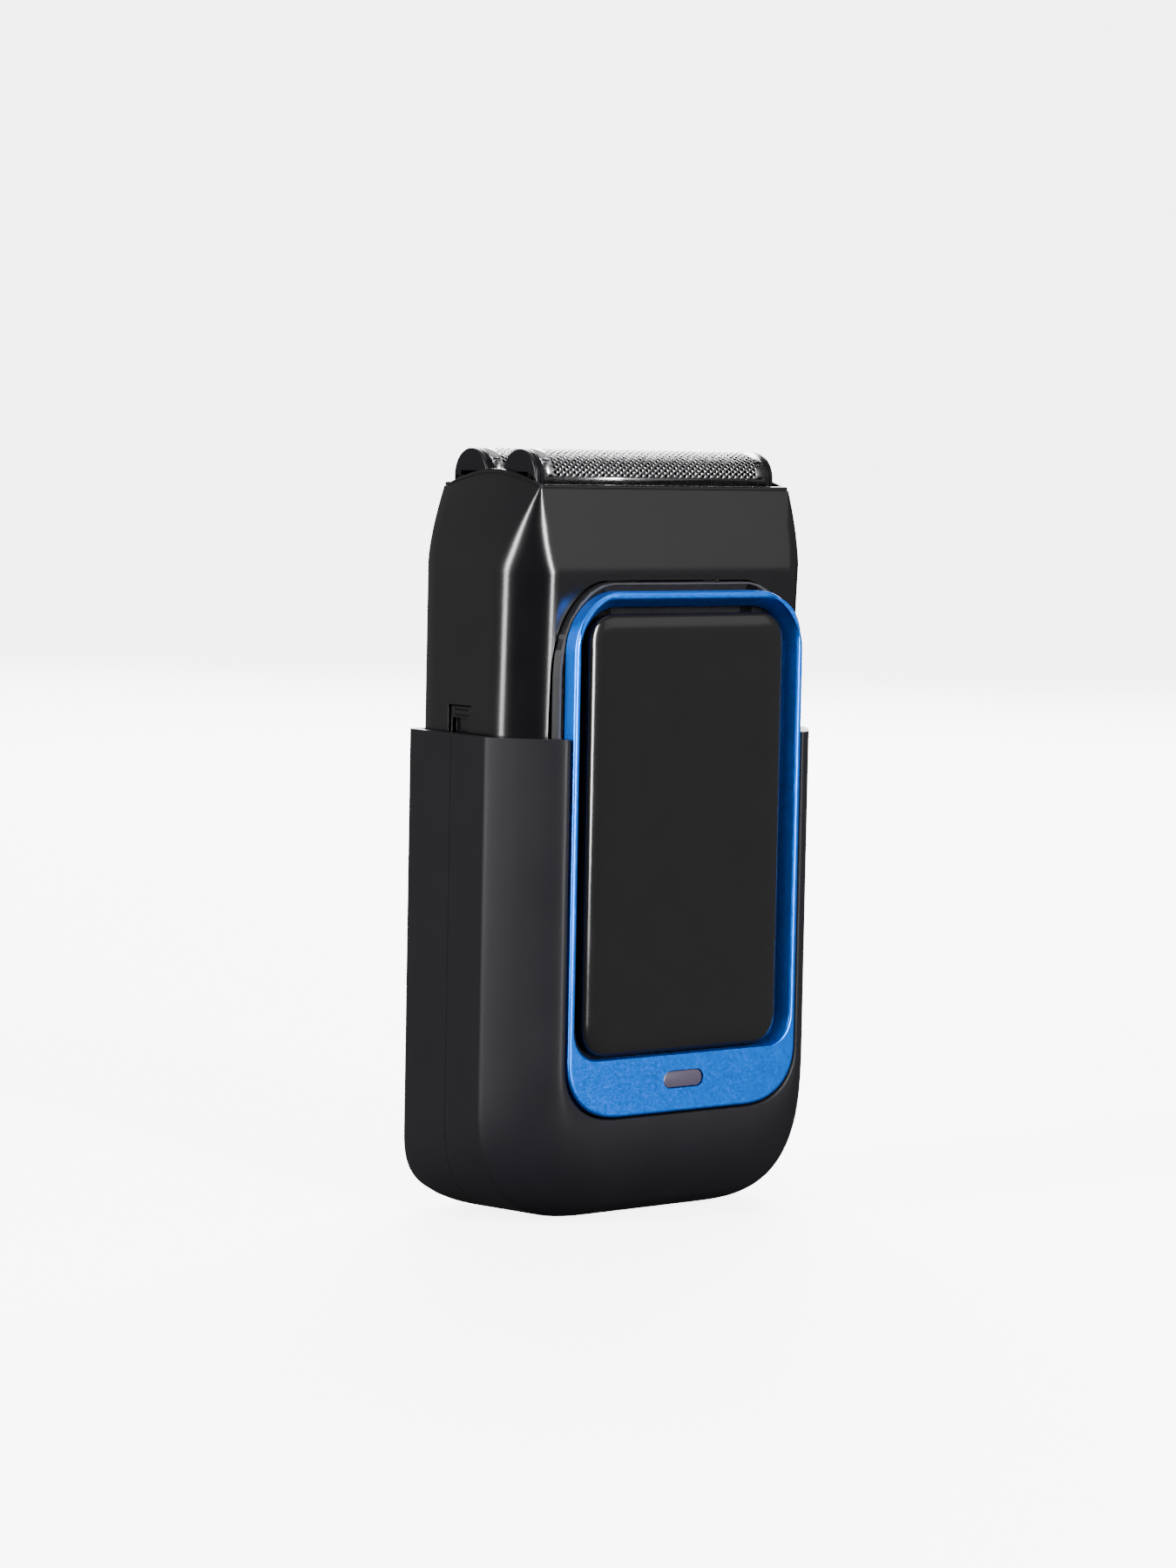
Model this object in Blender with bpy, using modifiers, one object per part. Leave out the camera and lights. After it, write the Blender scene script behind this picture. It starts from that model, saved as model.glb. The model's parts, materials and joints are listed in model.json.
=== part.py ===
"""An electric foil shaver with a lift-off foil head, standing upright.

+Z is up, the front with the power key faces -Y, and the origin is below the middle of the object's
box, on the surface that it stands on. Sizes are in millimetres and become metres in `metres`.
"""

import math

import bmesh
import bpy
from mathutils import Matrix, Vector

OBJECT_NAME = "electric_shaver"
GAP = 0.3  # between pieces that would touch

# Handle shells
HANDLE_TOP = 70.8
HANDLE_HALF_WIDTH = 30.3  # at the crease, its widest line
HANDLE_FRONT = -15.0
HANDLE_REAR = 14.9
CREASE_Y = -5.7  # where the flat side turns into the pillow-shaped front
PILLOW_SIDE = 6.9  # how far the front face stands in from the crease at each side
PILLOW_SIDE_POWER = 1.12
PILLOW_BASE = 7.2  # and below
PILLOW_BASE_POWER = 1.6
SIDE_TAPER = 1.1  # how far the side draws in from the crease to the rear
REAR_ROUND = 1.6
FOOT_REAR_Y = 7.0
FOOT_REAR_RISE = 2.6
FRONT_BASE = (10.3, 19.5, 2.8)  # half width of the foot, corner height and power at the crease
REAR_BASE = (15.0, 10.0, 3.0)  # and at the rear
WALL = 1.5
SEAM_Y = 3.0  # front and rear shells part here
COLLAR_BOTTOM = 60.0  # above it the handle fits the head's skirt closely

# Foil head shell: half width, front y, rear y and how far its back swells out at each level
HEAD_WALL = 1.0
SKIRT_BOTTOM = 64.8
HEAD_LOWER = {"z": 73.0, "half_width": 27.7, "front": -10.5, "rear": 13.35, "bulge": 0.0}
SHOULDER = {"z": 94.6, "half_width": 27.95, "front": -11.4, "rear": 12.9, "bulge": 0.9}
RIM = {"z": 107.0, "half_width": 23.2, "front": -8.8, "rear": 15.35, "bulge": 0.0}
BULGE_EDGE = 8.0  # the swelling fades out over this width at each side
HEAD_CHAMFER_X = 5.4
HEAD_CHAMFER_Y = 5.0
REAR_CHAMFER_X = 0.5
REAR_CHAMFER_Y = 2.2
LEAST_CHAMFER = 0.2
RIM_ARCH = 2.1  # how far the rim's side edges rise at their middle
TAPER_POWER = 1.35

# Control face: bezel, blue frame, key and indicator
ARCH_HALF_WIDTH = 22.6  # the cut-out in the head
ARCH_TOP = 93.3
ARCH_CORNER = (9.6, 13.3, 2.0)
BEZEL_BOTTOM = 13.5
BEZEL_FRONT = -12.55
BEZEL_REAR = -11.0
FRAME_HALF_WIDTH = 21.4
FRAME_BOTTOM = 15.75
FRAME_TOP = 91.85
FRAME_TOP_CORNER = (8.4, 9.0, 2.0)
FRAME_BASE_CORNER = (12.4, 9.0, 2.4)
FRAME_FRONT = -15.35
FRAME_REAR = -12.85
FRAME_LIP = 1.0  # width of the frame's front edge
FRAME_SLOPE = 1.1  # how far its inner wall leans in towards the key
KEY_HALF_WIDTH = 18.3
KEY_BOTTOM = 24.6
KEY_TOP = 88.6
KEY_CORNER = (3.6, 3.6, 2.2)
KEY_FRONT = -15.1
KEY_REAR = -13.5
PILL_HALF_WIDTH = 3.65
PILL_HALF_HEIGHT = 1.2
PILL_Z = 20.55
SWITCH_Z = 56.5

# Drive
HOUSING_HALF_WIDTH = 17.9
HOUSING_FRONT = -10.6
HOUSING_REAR = 10.7
HOUSING_BOTTOM = 60.5
HOUSING_TOP = 91.0
HOUSING_WALL = 1.4
DRIVE_Y = 2.6
MOTOR_RADIUS = 6.4
MOTOR_Z = (63.0, 84.0)
END_BELL_BOTTOM = 60.9
END_BELL_RADIUS = 5.8
SHAFT_RADIUS = 1.0
SHAFT_CLEARANCE = 0.4
SHAFT_Z = (61.2, 92.2)
SHAFT_HOLE_RADIUS = 2.0
SEAL_RADIUS = 4.0
SEAL_BOTTOM = 87.6
HUB_RADIUS = 3.2
HUB_Z = (91.4, 93.4)
HUB_BORE_TOP = 92.6
ECCENTRICITY = 1.2
ECCENTRIC_PIN_RADIUS = 0.8
ECCENTRIC_PIN_Z = (93.0, 96.4)

# Bridge and its guides
BRIDGE_HALF_WIDTH = 13.0
BRIDGE_Y = (-4.5, 10.4)
BRIDGE_Z = (94.0, 96.0)
TONGUE_HALF_WIDTH = 16.2
TONGUE_Y = (1.6, 4.8)
TONGUE_Z = (94.4, 95.6)
DRIVE_SLOT_HALF_WIDTH = 3.6
DRIVE_SLOT_Y = (0.2, 5.0)
GUIDE_X = (14.5, 17.7)
GUIDE_Y = (0.0, 6.4)
GUIDE_TOP = 97.4

# Foil units and cutters
FOIL_YS = {"front": -2.4, "rear": 9.2}
FOIL_RADIUS = 4.0
FOIL_THICKNESS = 0.3
FOIL_HALF_LENGTH = 20.3
CAP_OUTER_X = 21.9
FOIL_AXIS_Z = 108.0
FOIL_SKIRT_Z = 106.9
HOLDER_Z = (105.5, 106.6)
TOP_FRAME_Z = (102.0, 103.2)
WINDOW_HALF_LENGTH = 19.1
WINDOW_HALF_WIDTH = 3.65
FOIL_SPRING_X = 20.6
FOIL_SPRING_RADIUS = 1.0
FOIL_SPRING_WIRE = 0.15
CUTTER_RADIUS = 3.05
CUTTER_HALF_LENGTH = 17.3
CUTTER_BOTTOM = 104.5
CARRIER_HALF_LENGTH = 8.0
CARRIER_HALF_WIDTH = 2.1
CARRIER_BOTTOM = 100.6
CARRIER_BORE_RADIUS = 1.4
CARRIER_BORE_TOP = 103.5
DRIVE_PIN_RADIUS = 1.0
DRIVE_PIN_TOP = 102.2
CUTTER_SPRING_RADIUS = 1.6
CUTTER_SPRING_WIRE = 0.2

# Latches
LATCH_Y = 3.8
LATCH_HALF_WIDTH = 2.55
LATCH_Z = (66.0, 74.6)
LATCH_X = (22.5, 27.2)
RIDGE_HALF_WIDTH = 1.7
RIDGE_Z = (73.4, 74.1)
RIDGE_PROUD = 0.3
NOTCH_TOP = 75.0
LATCH_SPRING_Z = 70.5
LATCH_SPRING_RADIUS = 1.5
LATCH_SPRING_WIRE = 0.18

# Chassis, circuit board and the parts on it
CHASSIS_HALF_WIDTH = 23.0
CHASSIS_Y = (-6.9, -5.6)
CHASSIS_Z = (14.0, 58.0)
SCREW_X = 19.5
SCREW_ZS = (19.0, 54.0)
BOSS_RADIUS = 2.4
SCREW_HOLE_RADIUS = 1.3
SCREW_RADIUS = 0.95
SCREW_HEAD_RADIUS = 1.8
SCREW_SHANK_Y = (-9.5, -5.1)
SCREW_HEAD_Y = (-5.3, -4.1)
BOARD_HALF_WIDTH = 16.0
BOARD_Y = (-9.0, -7.8)
BOARD_Z = (17.0, 58.0)
SWITCH_SIZE = 6.0
SWITCH_FRONT = -10.7
PLUNGER_RADIUS = 1.4
PLUNGER_REAR = -11.6
PLUNGER_HOLE_RADIUS = 2.0
LED_HALF_WIDTH = 1.0
LED_HALF_HEIGHT = 0.8
LED_FRONT = -10.4
LED_HOLE_RADIUS = 1.5

# Battery and charging
CELL_RADIUS = 7.0
CELL_X = -9.5
CELL_Y = 3.0
CELL_Z = (8.0, 56.0)
TAB_THICKNESS = 0.4
TAB_X = (-12.5, -3.5)
TAB_HALF_DEPTH = 2.0
USB_Y = 6.6
PORT_HALF_WIDTH = 4.9  # the opening in the handle
PORT_HALF_DEPTH = 2.0
SOCKET_HALF_WIDTH = 4.5
SOCKET_HALF_DEPTH = 1.6
SOCKET_WALL = 0.4
SOCKET_Z = (0.5, 7.4)
SOCKET_BACK = 1.0

LEFT_RIGHT = {"left": -1, "right": 1}

COLOURS = {
    "matte_shell": ((0.026, 0.025, 0.029), 0.55, 0.0),
    "gloss_shell": ((0.028, 0.026, 0.030), 0.22, 0.0),
    "black_gloss": ((0.016, 0.015, 0.018), 0.08, 0.0),
    "blue_metal": ((0.045, 0.300, 0.900), 0.35, 0.85),
    "lens": ((0.180, 0.140, 0.190), 0.30, 0.0),
    "foil_steel": ((0.620, 0.620, 0.640), 0.25, 1.0),
    "steel": ((0.450, 0.450, 0.460), 0.35, 1.0),
    "dark_plastic": ((0.030, 0.030, 0.032), 0.50, 0.0),
    "grey_plastic": ((0.280, 0.280, 0.290), 0.55, 0.0),
    "board_green": ((0.020, 0.120, 0.050), 0.45, 0.0),
    "rubber": ((0.012, 0.012, 0.012), 0.80, 0.0),
    "cell_wrap": ((0.050, 0.160, 0.420), 0.40, 0.0),
    "brass": ((0.700, 0.480, 0.180), 0.30, 1.0),
}


def metres(*values):
    return Vector([value / 1000 for value in values])


def clear_scene():
    for thing in list(bpy.data.objects):
        bpy.data.objects.remove(thing)


def new_collection(name):
    made = bpy.data.collections.new(name)
    bpy.context.scene.collection.children.link(made)
    return made


def new_material(name, colour, roughness, metallic):
    made = bpy.data.materials.new(name)
    made.use_nodes = True
    shader = made.node_tree.nodes["Principled BSDF"]
    shader.inputs["Base Color"].default_value = (*colour, 1.0)
    shader.inputs["Roughness"].default_value = roughness
    shader.inputs["Metallic"].default_value = metallic
    return made


def object_from(name, mesh_maker, look, place=(0, 0, 0)):
    """Turn what mesh_maker draws in a bmesh, in metres about `place`, into a named part or cutter."""
    bm = bmesh.new()
    mesh_maker(bm)
    bmesh.ops.recalc_face_normals(bm, faces=bm.faces)
    origin = metres(*place)
    bmesh.ops.translate(bm, vec=-origin, verts=bm.verts)
    mesh = bpy.data.meshes.new(name)
    bm.to_mesh(mesh)
    bm.free()
    made = bpy.data.objects.new(name, mesh)
    made.location = origin
    if look is None:
        made.hide_render = True
        made.display_type = "WIRE"
        cutters.objects.link(made)
    else:
        mesh.materials.append(materials[look])
        mesh.shade_smooth()
        mesh.set_sharp_from_angle(angle=math.radians(30))
        parts.objects.link(made)
    return made


def box(name, low, high, look, place=(0, 0, 0), bevel=0.0):
    def draw(bm):
        size = metres(*(b - a for a, b in zip(low, high)))
        middle = metres(*((a + b) / 2 for a, b in zip(low, high)))
        matrix = Matrix.Translation(middle) @ Matrix.Diagonal((*size, 1.0))
        bmesh.ops.create_cube(bm, size=1.0, matrix=matrix)

    made = object_from(name, draw, look, place)
    if bevel:
        edge = made.modifiers.new("rounding", "BEVEL")
        edge.width = bevel / 1000
        edge.segments = 2
    return made


def slab(name, half_width, ys, zs, look, place=(0, 0, 0), bevel=0.0):
    """A box that is centred in X."""
    return box(name, (-half_width, ys[0], zs[0]), (half_width, ys[1], zs[1]), look, place, bevel)


AXIS_TURNS = {
    "X": Matrix.Rotation(math.pi / 2, 4, "Y"),
    "Y": Matrix.Rotation(math.pi / 2, 4, "X"),
    "Z": Matrix.Identity(4),
}


def cylinder(name, middle, radius, length, axis, look, place=(0, 0, 0), sides=24):
    def draw(bm):
        matrix = Matrix.Translation(metres(*middle)) @ AXIS_TURNS[axis]
        bmesh.ops.create_cone(
            bm,
            cap_ends=True,
            segments=sides,
            radius1=radius / 1000,
            radius2=radius / 1000,
            depth=length / 1000,
            matrix=matrix,
        )

    return object_from(name, draw, look, place)


def ring(name, middle_x, middle_y, z_low, z_high, bore, radius, look, sides=24):
    """A turned sleeve about a vertical axis."""
    profile = [(radius, z_high), (radius, z_low), (bore, z_low), (bore, z_high)]

    def draw(bm):
        points = [bm.verts.new(metres(middle_x + r, middle_y, z)) for r, z in profile]
        for first, second in zip(points, points[1:] + points[:1]):
            bm.edges.new((first, second))

    made = object_from(name, draw, look, (middle_x, middle_y, z_low))
    turn = made.modifiers.new("turn", "SCREW")
    turn.steps = sides
    turn.render_steps = sides
    turn.use_merge_vertices = True
    turn.merge_threshold = 0.00001
    return made


def coil(name, middle, radius, wire, length, turns, axis, look):
    """An open coil spring along Z or X, centred on `middle`."""
    points_a_turn = 9
    count = turns * points_a_turn
    pitch_length = length - 2 * wire
    curve = bpy.data.curves.new(name, "CURVE")
    curve.dimensions = "3D"
    curve.bevel_depth = wire / 1000
    curve.bevel_resolution = 1
    curve.use_fill_caps = True
    spline = curve.splines.new("POLY")
    spline.points.add(count)
    for index, point in enumerate(spline.points):
        angle = 2 * math.pi * index / points_a_turn
        along = pitch_length * (index / count - 0.5)
        across = (radius * math.cos(angle), radius * math.sin(angle))
        local = (along, *across) if axis == "X" else (*across, along)
        point.co = (*metres(*local), 1.0)
    curve.materials.append(materials[look])
    made = bpy.data.objects.new(name, curve)
    made.location = metres(*middle)
    parts.objects.link(made)
    return made


def boolean(target, tool, operation="DIFFERENCE"):
    step = target.modifiers.new(tool.name, "BOOLEAN")
    step.operation = operation
    step.object = tool
    step.solver = "EXACT"


def corner_points(flat, bottom, corner, steps=7):
    """A lower right corner from (flat, bottom) out and up, as a superellipse (width, height, power)."""
    width, height, power = corner
    points = []
    for step in range(steps + 1):
        angle = math.pi / 2 * step / steps
        across = math.sin(angle) ** (2 / power)
        up = 1 - math.cos(angle) ** (2 / power)
        points.append((flat + width * across, bottom + height * up))
    return points


def outline(half_width, bottom, top, base_corner, top_corner=None, steps=7):
    """A symmetric closed outline in XZ with rounded lower corners and, if asked, upper ones."""
    right = corner_points(half_width - base_corner[0], bottom, base_corner, steps)
    if top_corner:
        upper = corner_points(half_width - top_corner[0], -top, top_corner, steps)
        right += [(x, -z) for x, z in reversed(upper)]
    else:
        right.append((half_width, top))
    return right + [(-x, z) for x, z in reversed(right)]


def prism(name, points, y_front, y_rear, look, place=(0, 0, 0)):
    """An XZ outline pushed back from y_front to y_rear."""

    def draw(bm):
        face = bm.faces.new([bm.verts.new(metres(x, y_front, z)) for x, z in points])
        grown = bmesh.ops.extrude_face_region(bm, geom=[face])["geom"]
        moved = [item for item in grown if isinstance(item, bmesh.types.BMVert)]
        bmesh.ops.translate(bm, vec=metres(0, y_rear - y_front, 0), verts=moved)

    return object_from(name, draw, look, place)


def loft(name, rings, look, place=(0, 0, 0)):
    """A solid through closed rings of equal count, with flat ends."""

    def draw(bm):
        rows = [[bm.verts.new(metres(*point)) for point in ring_points] for ring_points in rings]
        for row, after in zip(rows, rows[1:]):
            for index in range(len(row)):
                following = (index + 1) % len(row)
                bm.faces.new((row[index], row[following], after[following], after[index]))
        bm.faces.new(rows[0])
        bm.faces.new(rows[-1])

    return object_from(name, draw, look, place)


# Handle


def quarter(part):
    """How far an elliptical quarter has turned in, 0 to 1, when `part` of its depth is behind."""
    return 1 - math.sqrt(max(0.0, 1 - part * part))


def between(low, high, part, power=1.0):
    return low + (high - low) * part**power


def pillow_part(y):
    """0 at the crease and 1 on the front face."""
    return (CREASE_Y - y) / (CREASE_Y - HANDLE_FRONT)


def side_inset(y):
    if y < CREASE_Y:
        return PILLOW_SIDE * pillow_part(y) ** PILLOW_SIDE_POWER
    round_start = HANDLE_REAR - REAR_ROUND
    taper = SIDE_TAPER * min(1.0, (y - CREASE_Y) / (round_start - CREASE_Y))
    return taper + REAR_ROUND * quarter(max(0.0, y - round_start) / REAR_ROUND)


def base_inset(y):
    if y < CREASE_Y:
        return PILLOW_BASE * pillow_part(y) ** PILLOW_BASE_POWER
    return FOOT_REAR_RISE * quarter(max(0.0, y - FOOT_REAR_Y) / (HANDLE_REAR - FOOT_REAR_Y))


def base_corner(y, half_width):
    """The handle's base corner at depth y, which tightens from the crease to the rear."""
    part = max(0.0, (y - CREASE_Y) / (HANDLE_REAR - CREASE_Y))
    foot, height, power = (between(front, rear, part) for front, rear in zip(FRONT_BASE, REAR_BASE))
    return half_width - foot, height, power


def handle_ring(y, wall=0.0, top=HANDLE_TOP):
    """The handle's outline at outer depth y, or the hollow's when there is a wall."""
    scale = (HANDLE_REAR - HANDLE_FRONT - 2 * wall) / (HANDLE_REAR - HANDLE_FRONT)
    middle = (HANDLE_REAR + HANDLE_FRONT) / 2
    half_width = HANDLE_HALF_WIDTH - side_inset(y) - wall
    points = outline(half_width, base_inset(y) + wall, top, base_corner(y, half_width), steps=8)
    return [(x, middle + (y - middle) * scale, z) for x, z in points]


def handle_depths():
    """Depths from front to rear where the handle's outline is worked out."""
    steps = 5
    depths = []
    for step in range(steps + 1):
        turn = math.sin(math.pi / 2 * (steps - step) / steps)
        depths.append(CREASE_Y + turn * (HANDLE_FRONT - CREASE_Y))
    depths += [SEAM_Y, FOOT_REAR_Y, 10.5]
    round_start = HANDLE_REAR - REAR_ROUND
    for step in range(4):
        depths.append(round_start + REAR_ROUND * math.sin(math.pi / 2 * step / 3))
    return depths


def skirt_section(clearance):
    lower = dict(HEAD_LOWER)
    lower["half_width"] += clearance
    lower["front"] -= clearance
    lower["rear"] += clearance
    return lower


def make_handle_shells():
    depths = handle_depths()
    seam_front = SEAM_Y - GAP / 2
    seam_rear = SEAM_Y + GAP / 2
    front_depths = [y for y in depths if y < seam_front] + [seam_front]
    rear_depths = [seam_rear] + [y for y in depths if y > seam_rear]
    front = loft("handle_front_shell", [handle_ring(y) for y in front_depths], "matte_shell")
    rear = loft("handle_rear_shell", [handle_ring(y) for y in rear_depths], "matte_shell")
    hollow = loft("cut_handle_hollow", [handle_ring(y, WALL, COLLAR_BOTTOM) for y in depths], None)
    collar_section = skirt_section(GAP)
    collar_rings = [head_ring(collar_section, z, 0.0, 1.0) for z in (COLLAR_BOTTOM - 2, HANDLE_TOP + 2)]
    collar = loft("cut_handle_collar", collar_rings, None)
    for shell in (front, rear):
        boolean(shell, hollow)
        boolean(shell, collar)
    window = prism("cut_frame_window", frame_outline(GAP), HANDLE_FRONT - 2, BEZEL_FRONT + 0.4, None)
    boolean(front, window)
    slot = prism("cut_bezel_slot", bezel_outline(GAP), BEZEL_FRONT - GAP, BEZEL_REAR + 2, None)
    boolean(front, slot)
    port_ys = (USB_Y - PORT_HALF_DEPTH, USB_Y + PORT_HALF_DEPTH)
    port = slab("cut_usb_port", PORT_HALF_WIDTH, port_ys, (-1, 6), None, bevel=1.4)
    boolean(rear, port)


# Foil head


def head_ring(section, z, rise, chamfer):
    """The head's outline at one level. Its sides rise by `rise` at the middle of their depth."""
    half_width, front, rear = section["half_width"], section["front"], section["rear"]
    chamfer_x = max(LEAST_CHAMFER, HEAD_CHAMFER_X * chamfer)
    chamfer_y = max(LEAST_CHAMFER, HEAD_CHAMFER_Y * chamfer)
    side_steps = 6
    side_front = front + chamfer_y
    side_rear = rear - REAR_CHAMFER_Y
    right = [(half_width - chamfer_x, front, z)]
    for step in range(side_steps + 1):
        part = step / side_steps
        y = side_front + (side_rear - side_front) * part
        right.append((half_width, y, z + rise * math.sin(math.pi * part)))
    right.append((half_width - REAR_CHAMFER_X, rear, z))
    right.append((half_width - BULGE_EDGE, rear + section["bulge"], z))
    return right + [(-x, y, height) for x, y, height in reversed(right)]


def head_section(z, inset=0.0):
    """Half width, front and rear of the head at level z, its side rise and how much chamfer is left."""
    if z <= SHOULDER["z"]:
        part = max(0.0, (z - HEAD_LOWER["z"]) / (SHOULDER["z"] - HEAD_LOWER["z"]))
        section = {key: between(HEAD_LOWER[key], SHOULDER[key], part) for key in SHOULDER}
        rise, chamfer = 0.0, 1.0
    else:
        part = (z - SHOULDER["z"]) / (RIM["z"] - SHOULDER["z"])
        section = {key: between(SHOULDER[key], RIM[key], part) for key in SHOULDER}
        section["half_width"] = between(SHOULDER["half_width"], RIM["half_width"], part, TAPER_POWER)
        rise, chamfer = RIM_ARCH * part * part, 1.0 - part
    section["half_width"] -= inset
    section["front"] += inset
    section["rear"] -= inset
    return section, rise, chamfer


def head_level(z, inset=0.0, flat=False):
    section, rise, chamfer = head_section(z, inset)
    return head_ring(section, z, 0.0 if flat else rise, chamfer)


def make_head_shell():
    rim_steps = 5
    levels = [SKIRT_BOTTOM, HEAD_LOWER["z"], SHOULDER["z"]]
    for step in range(1, rim_steps + 1):
        levels.append(between(SHOULDER["z"], RIM["z"], step / rim_steps))
    outer = [head_level(z) for z in levels]
    inner = [head_level(z, HEAD_WALL) for z in levels]
    shell = loft("head_shell", outer + inner[::-1] + outer[:1], "gloss_shell")
    # The loft runs up the outside, over the rim, down the inside and back to its first ring.
    close_loft(shell)
    arch = prism("cut_head_arch", arch_outline(), -20, BEZEL_REAR + 4, None)
    boolean(shell, arch)
    for side, sign in LEFT_RIGHT.items():
        reach = LATCH_HALF_WIDTH + GAP
        xs = sorted((sign * (LATCH_X[0] + 1), sign * (LATCH_X[1] + 3)))
        low = (xs[0], LATCH_Y - reach, SKIRT_BOTTOM - 2)
        high = (xs[1], LATCH_Y + reach, NOTCH_TOP)
        boolean(shell, box(f"cut_latch_notch_{side}", low, high, None))


def close_loft(shell):
    """Drop the two end faces of a loft whose last ring meets its first, and weld the rings."""
    bm = bmesh.new()
    bm.from_mesh(shell.data)
    ends = [face for face in bm.faces if len(face.verts) > 4]
    bmesh.ops.delete(bm, geom=ends, context="FACES_ONLY")
    bmesh.ops.remove_doubles(bm, verts=bm.verts, dist=1e-6)
    bmesh.ops.recalc_face_normals(bm, faces=bm.faces)
    bm.to_mesh(shell.data)
    bm.free()


def make_top_frame():
    inset = HEAD_WALL + GAP
    plate = loft("head_top_frame", [head_level(z, inset, flat=True) for z in TOP_FRAME_Z], "dark_plastic")
    for place, y in FOIL_YS.items():
        low = (-WINDOW_HALF_LENGTH, y - WINDOW_HALF_WIDTH, TOP_FRAME_Z[0] - 1)
        high = (WINDOW_HALF_LENGTH, y + WINDOW_HALF_WIDTH, TOP_FRAME_Z[1] + 3)
        boolean(plate, box(f"cut_cutter_window_{place}", low, high, None))


def dome_outline(radius, skirt_z):
    """A half round over straight sides down to skirt_z, in YZ about the foil's own line."""
    steps = 14
    points = [(-radius, skirt_z)]
    for step in range(steps + 1):
        angle = math.pi * step / steps
        points.append((-radius * math.cos(angle), FOIL_AXIS_Z + radius * math.sin(angle)))
    return points + [(radius, skirt_z)]


def dome_bar(name, y, radius, skirt_z, x_low, x_high, look, place=(0, 0, 0)):
    rings = [[(x, y + across, z) for across, z in dome_outline(radius, skirt_z)] for x in (x_low, x_high)]
    return loft(name, rings, look, place)


def make_foil(place, y, origin):
    length = FOIL_HALF_LENGTH
    foil = dome_bar(f"foil_{place}", y, FOIL_RADIUS, FOIL_SKIRT_Z, -length, length, "foil_steel", origin)
    inner_radius = FOIL_RADIUS - FOIL_THICKNESS
    reach = length + 1
    hollow = dome_bar(f"cut_foil_{place}", y, inner_radius, FOIL_SKIRT_Z - 1, -reach, reach, None)
    boolean(foil, hollow)


def make_foil_cap(place, y, side, sign, origin):
    x_low, x_high = sorted((sign * (FOIL_HALF_LENGTH + GAP), sign * CAP_OUTER_X))
    name = f"foil_cap_{place}_{side}"
    cap = dome_bar(name, y, FOIL_RADIUS, FOIL_SKIRT_Z, x_low, x_high, "dark_plastic", origin)
    edge = cap.modifiers.new("rounding", "BEVEL")
    edge.width = 0.0003
    edge.segments = 2
    edge.limit_method = "ANGLE"


def make_foil_spring(place, y, side, sign):
    middle = (sign * FOIL_SPRING_X, y, (TOP_FRAME_Z[1] + HOLDER_Z[0]) / 2)
    length = HOLDER_Z[0] - TOP_FRAME_Z[1] - 2 * GAP
    name = f"foil_spring_{place}_{side}"
    coil(name, middle, FOIL_SPRING_RADIUS, FOIL_SPRING_WIRE, length, 3, "Z", "steel")


def make_foil_holder(place, y, origin):
    rim = WINDOW_HALF_WIDTH + 0.5
    holder = slab(f"foil_holder_{place}", CAP_OUTER_X, (y - rim, y + rim), HOLDER_Z, "dark_plastic", origin)
    opening_ys = (y - WINDOW_HALF_WIDTH, y + WINDOW_HALF_WIDTH)
    opening_zs = (HOLDER_Z[0] - 1, HOLDER_Z[1] + 1)
    boolean(holder, slab(f"cut_foil_holder_{place}", WINDOW_HALF_LENGTH, opening_ys, opening_zs, None))


def make_foil_unit(place, y):
    origin = (0, y, HOLDER_Z[0])
    make_foil(place, y, origin)
    make_foil_holder(place, y, origin)
    for side, sign in LEFT_RIGHT.items():
        make_foil_cap(place, y, side, sign, origin)
        make_foil_spring(place, y, side, sign)


def make_cutter_carrier(place, y):
    ys = (y - CARRIER_HALF_WIDTH, y + CARRIER_HALF_WIDTH)
    zs = (CARRIER_BOTTOM, CUTTER_BOTTOM - GAP)
    carrier = slab(f"cutter_carrier_{place}", CARRIER_HALF_LENGTH, ys, zs, "grey_plastic", (0, y, 0))
    bore_bottom = CARRIER_BOTTOM - 1
    bore_middle = (0, y, (bore_bottom + CARRIER_BORE_TOP) / 2)
    bore_length = CARRIER_BORE_TOP - bore_bottom
    bore = cylinder(f"cut_carrier_bore_{place}", bore_middle, CARRIER_BORE_RADIUS, bore_length, "Z", None)
    boolean(carrier, bore)


def make_cutter(place, y):
    length = CUTTER_HALF_LENGTH
    origin = (0, y, CUTTER_BOTTOM)
    dome_bar(f"cutter_block_{place}", y, CUTTER_RADIUS, CUTTER_BOTTOM, -length, length, "steel", origin)
    make_cutter_carrier(place, y)
    pin_bottom = BRIDGE_Z[1] + GAP
    pin_middle = (0, y, (pin_bottom + DRIVE_PIN_TOP) / 2)
    pin_length = DRIVE_PIN_TOP - pin_bottom
    cylinder(f"drive_pin_{place}", pin_middle, DRIVE_PIN_RADIUS, pin_length, "Z", "steel", pin_middle, 16)
    spring_low, spring_high = BRIDGE_Z[1] + GAP, CARRIER_BOTTOM - GAP
    spring_middle = (0, y, (spring_low + spring_high) / 2)
    spring_length = spring_high - spring_low
    name = f"cutter_spring_{place}"
    coil(name, spring_middle, CUTTER_SPRING_RADIUS, CUTTER_SPRING_WIRE, spring_length, 4, "Z", "steel")


# Control face


def frame_outline(grow):
    return outline(
        FRAME_HALF_WIDTH + grow, FRAME_BOTTOM - grow, FRAME_TOP + grow, FRAME_BASE_CORNER, FRAME_TOP_CORNER
    )


def bezel_outline(grow):
    half_width = ARCH_HALF_WIDTH - GAP - 0.05
    return outline(
        half_width + grow, BEZEL_BOTTOM - grow, ARCH_TOP - GAP - 0.05 + grow, FRAME_BASE_CORNER, ARCH_CORNER
    )


def arch_outline():
    return outline(ARCH_HALF_WIDTH, SKIRT_BOTTOM - 4, ARCH_TOP, (1, 1, 2), ARCH_CORNER)


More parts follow.
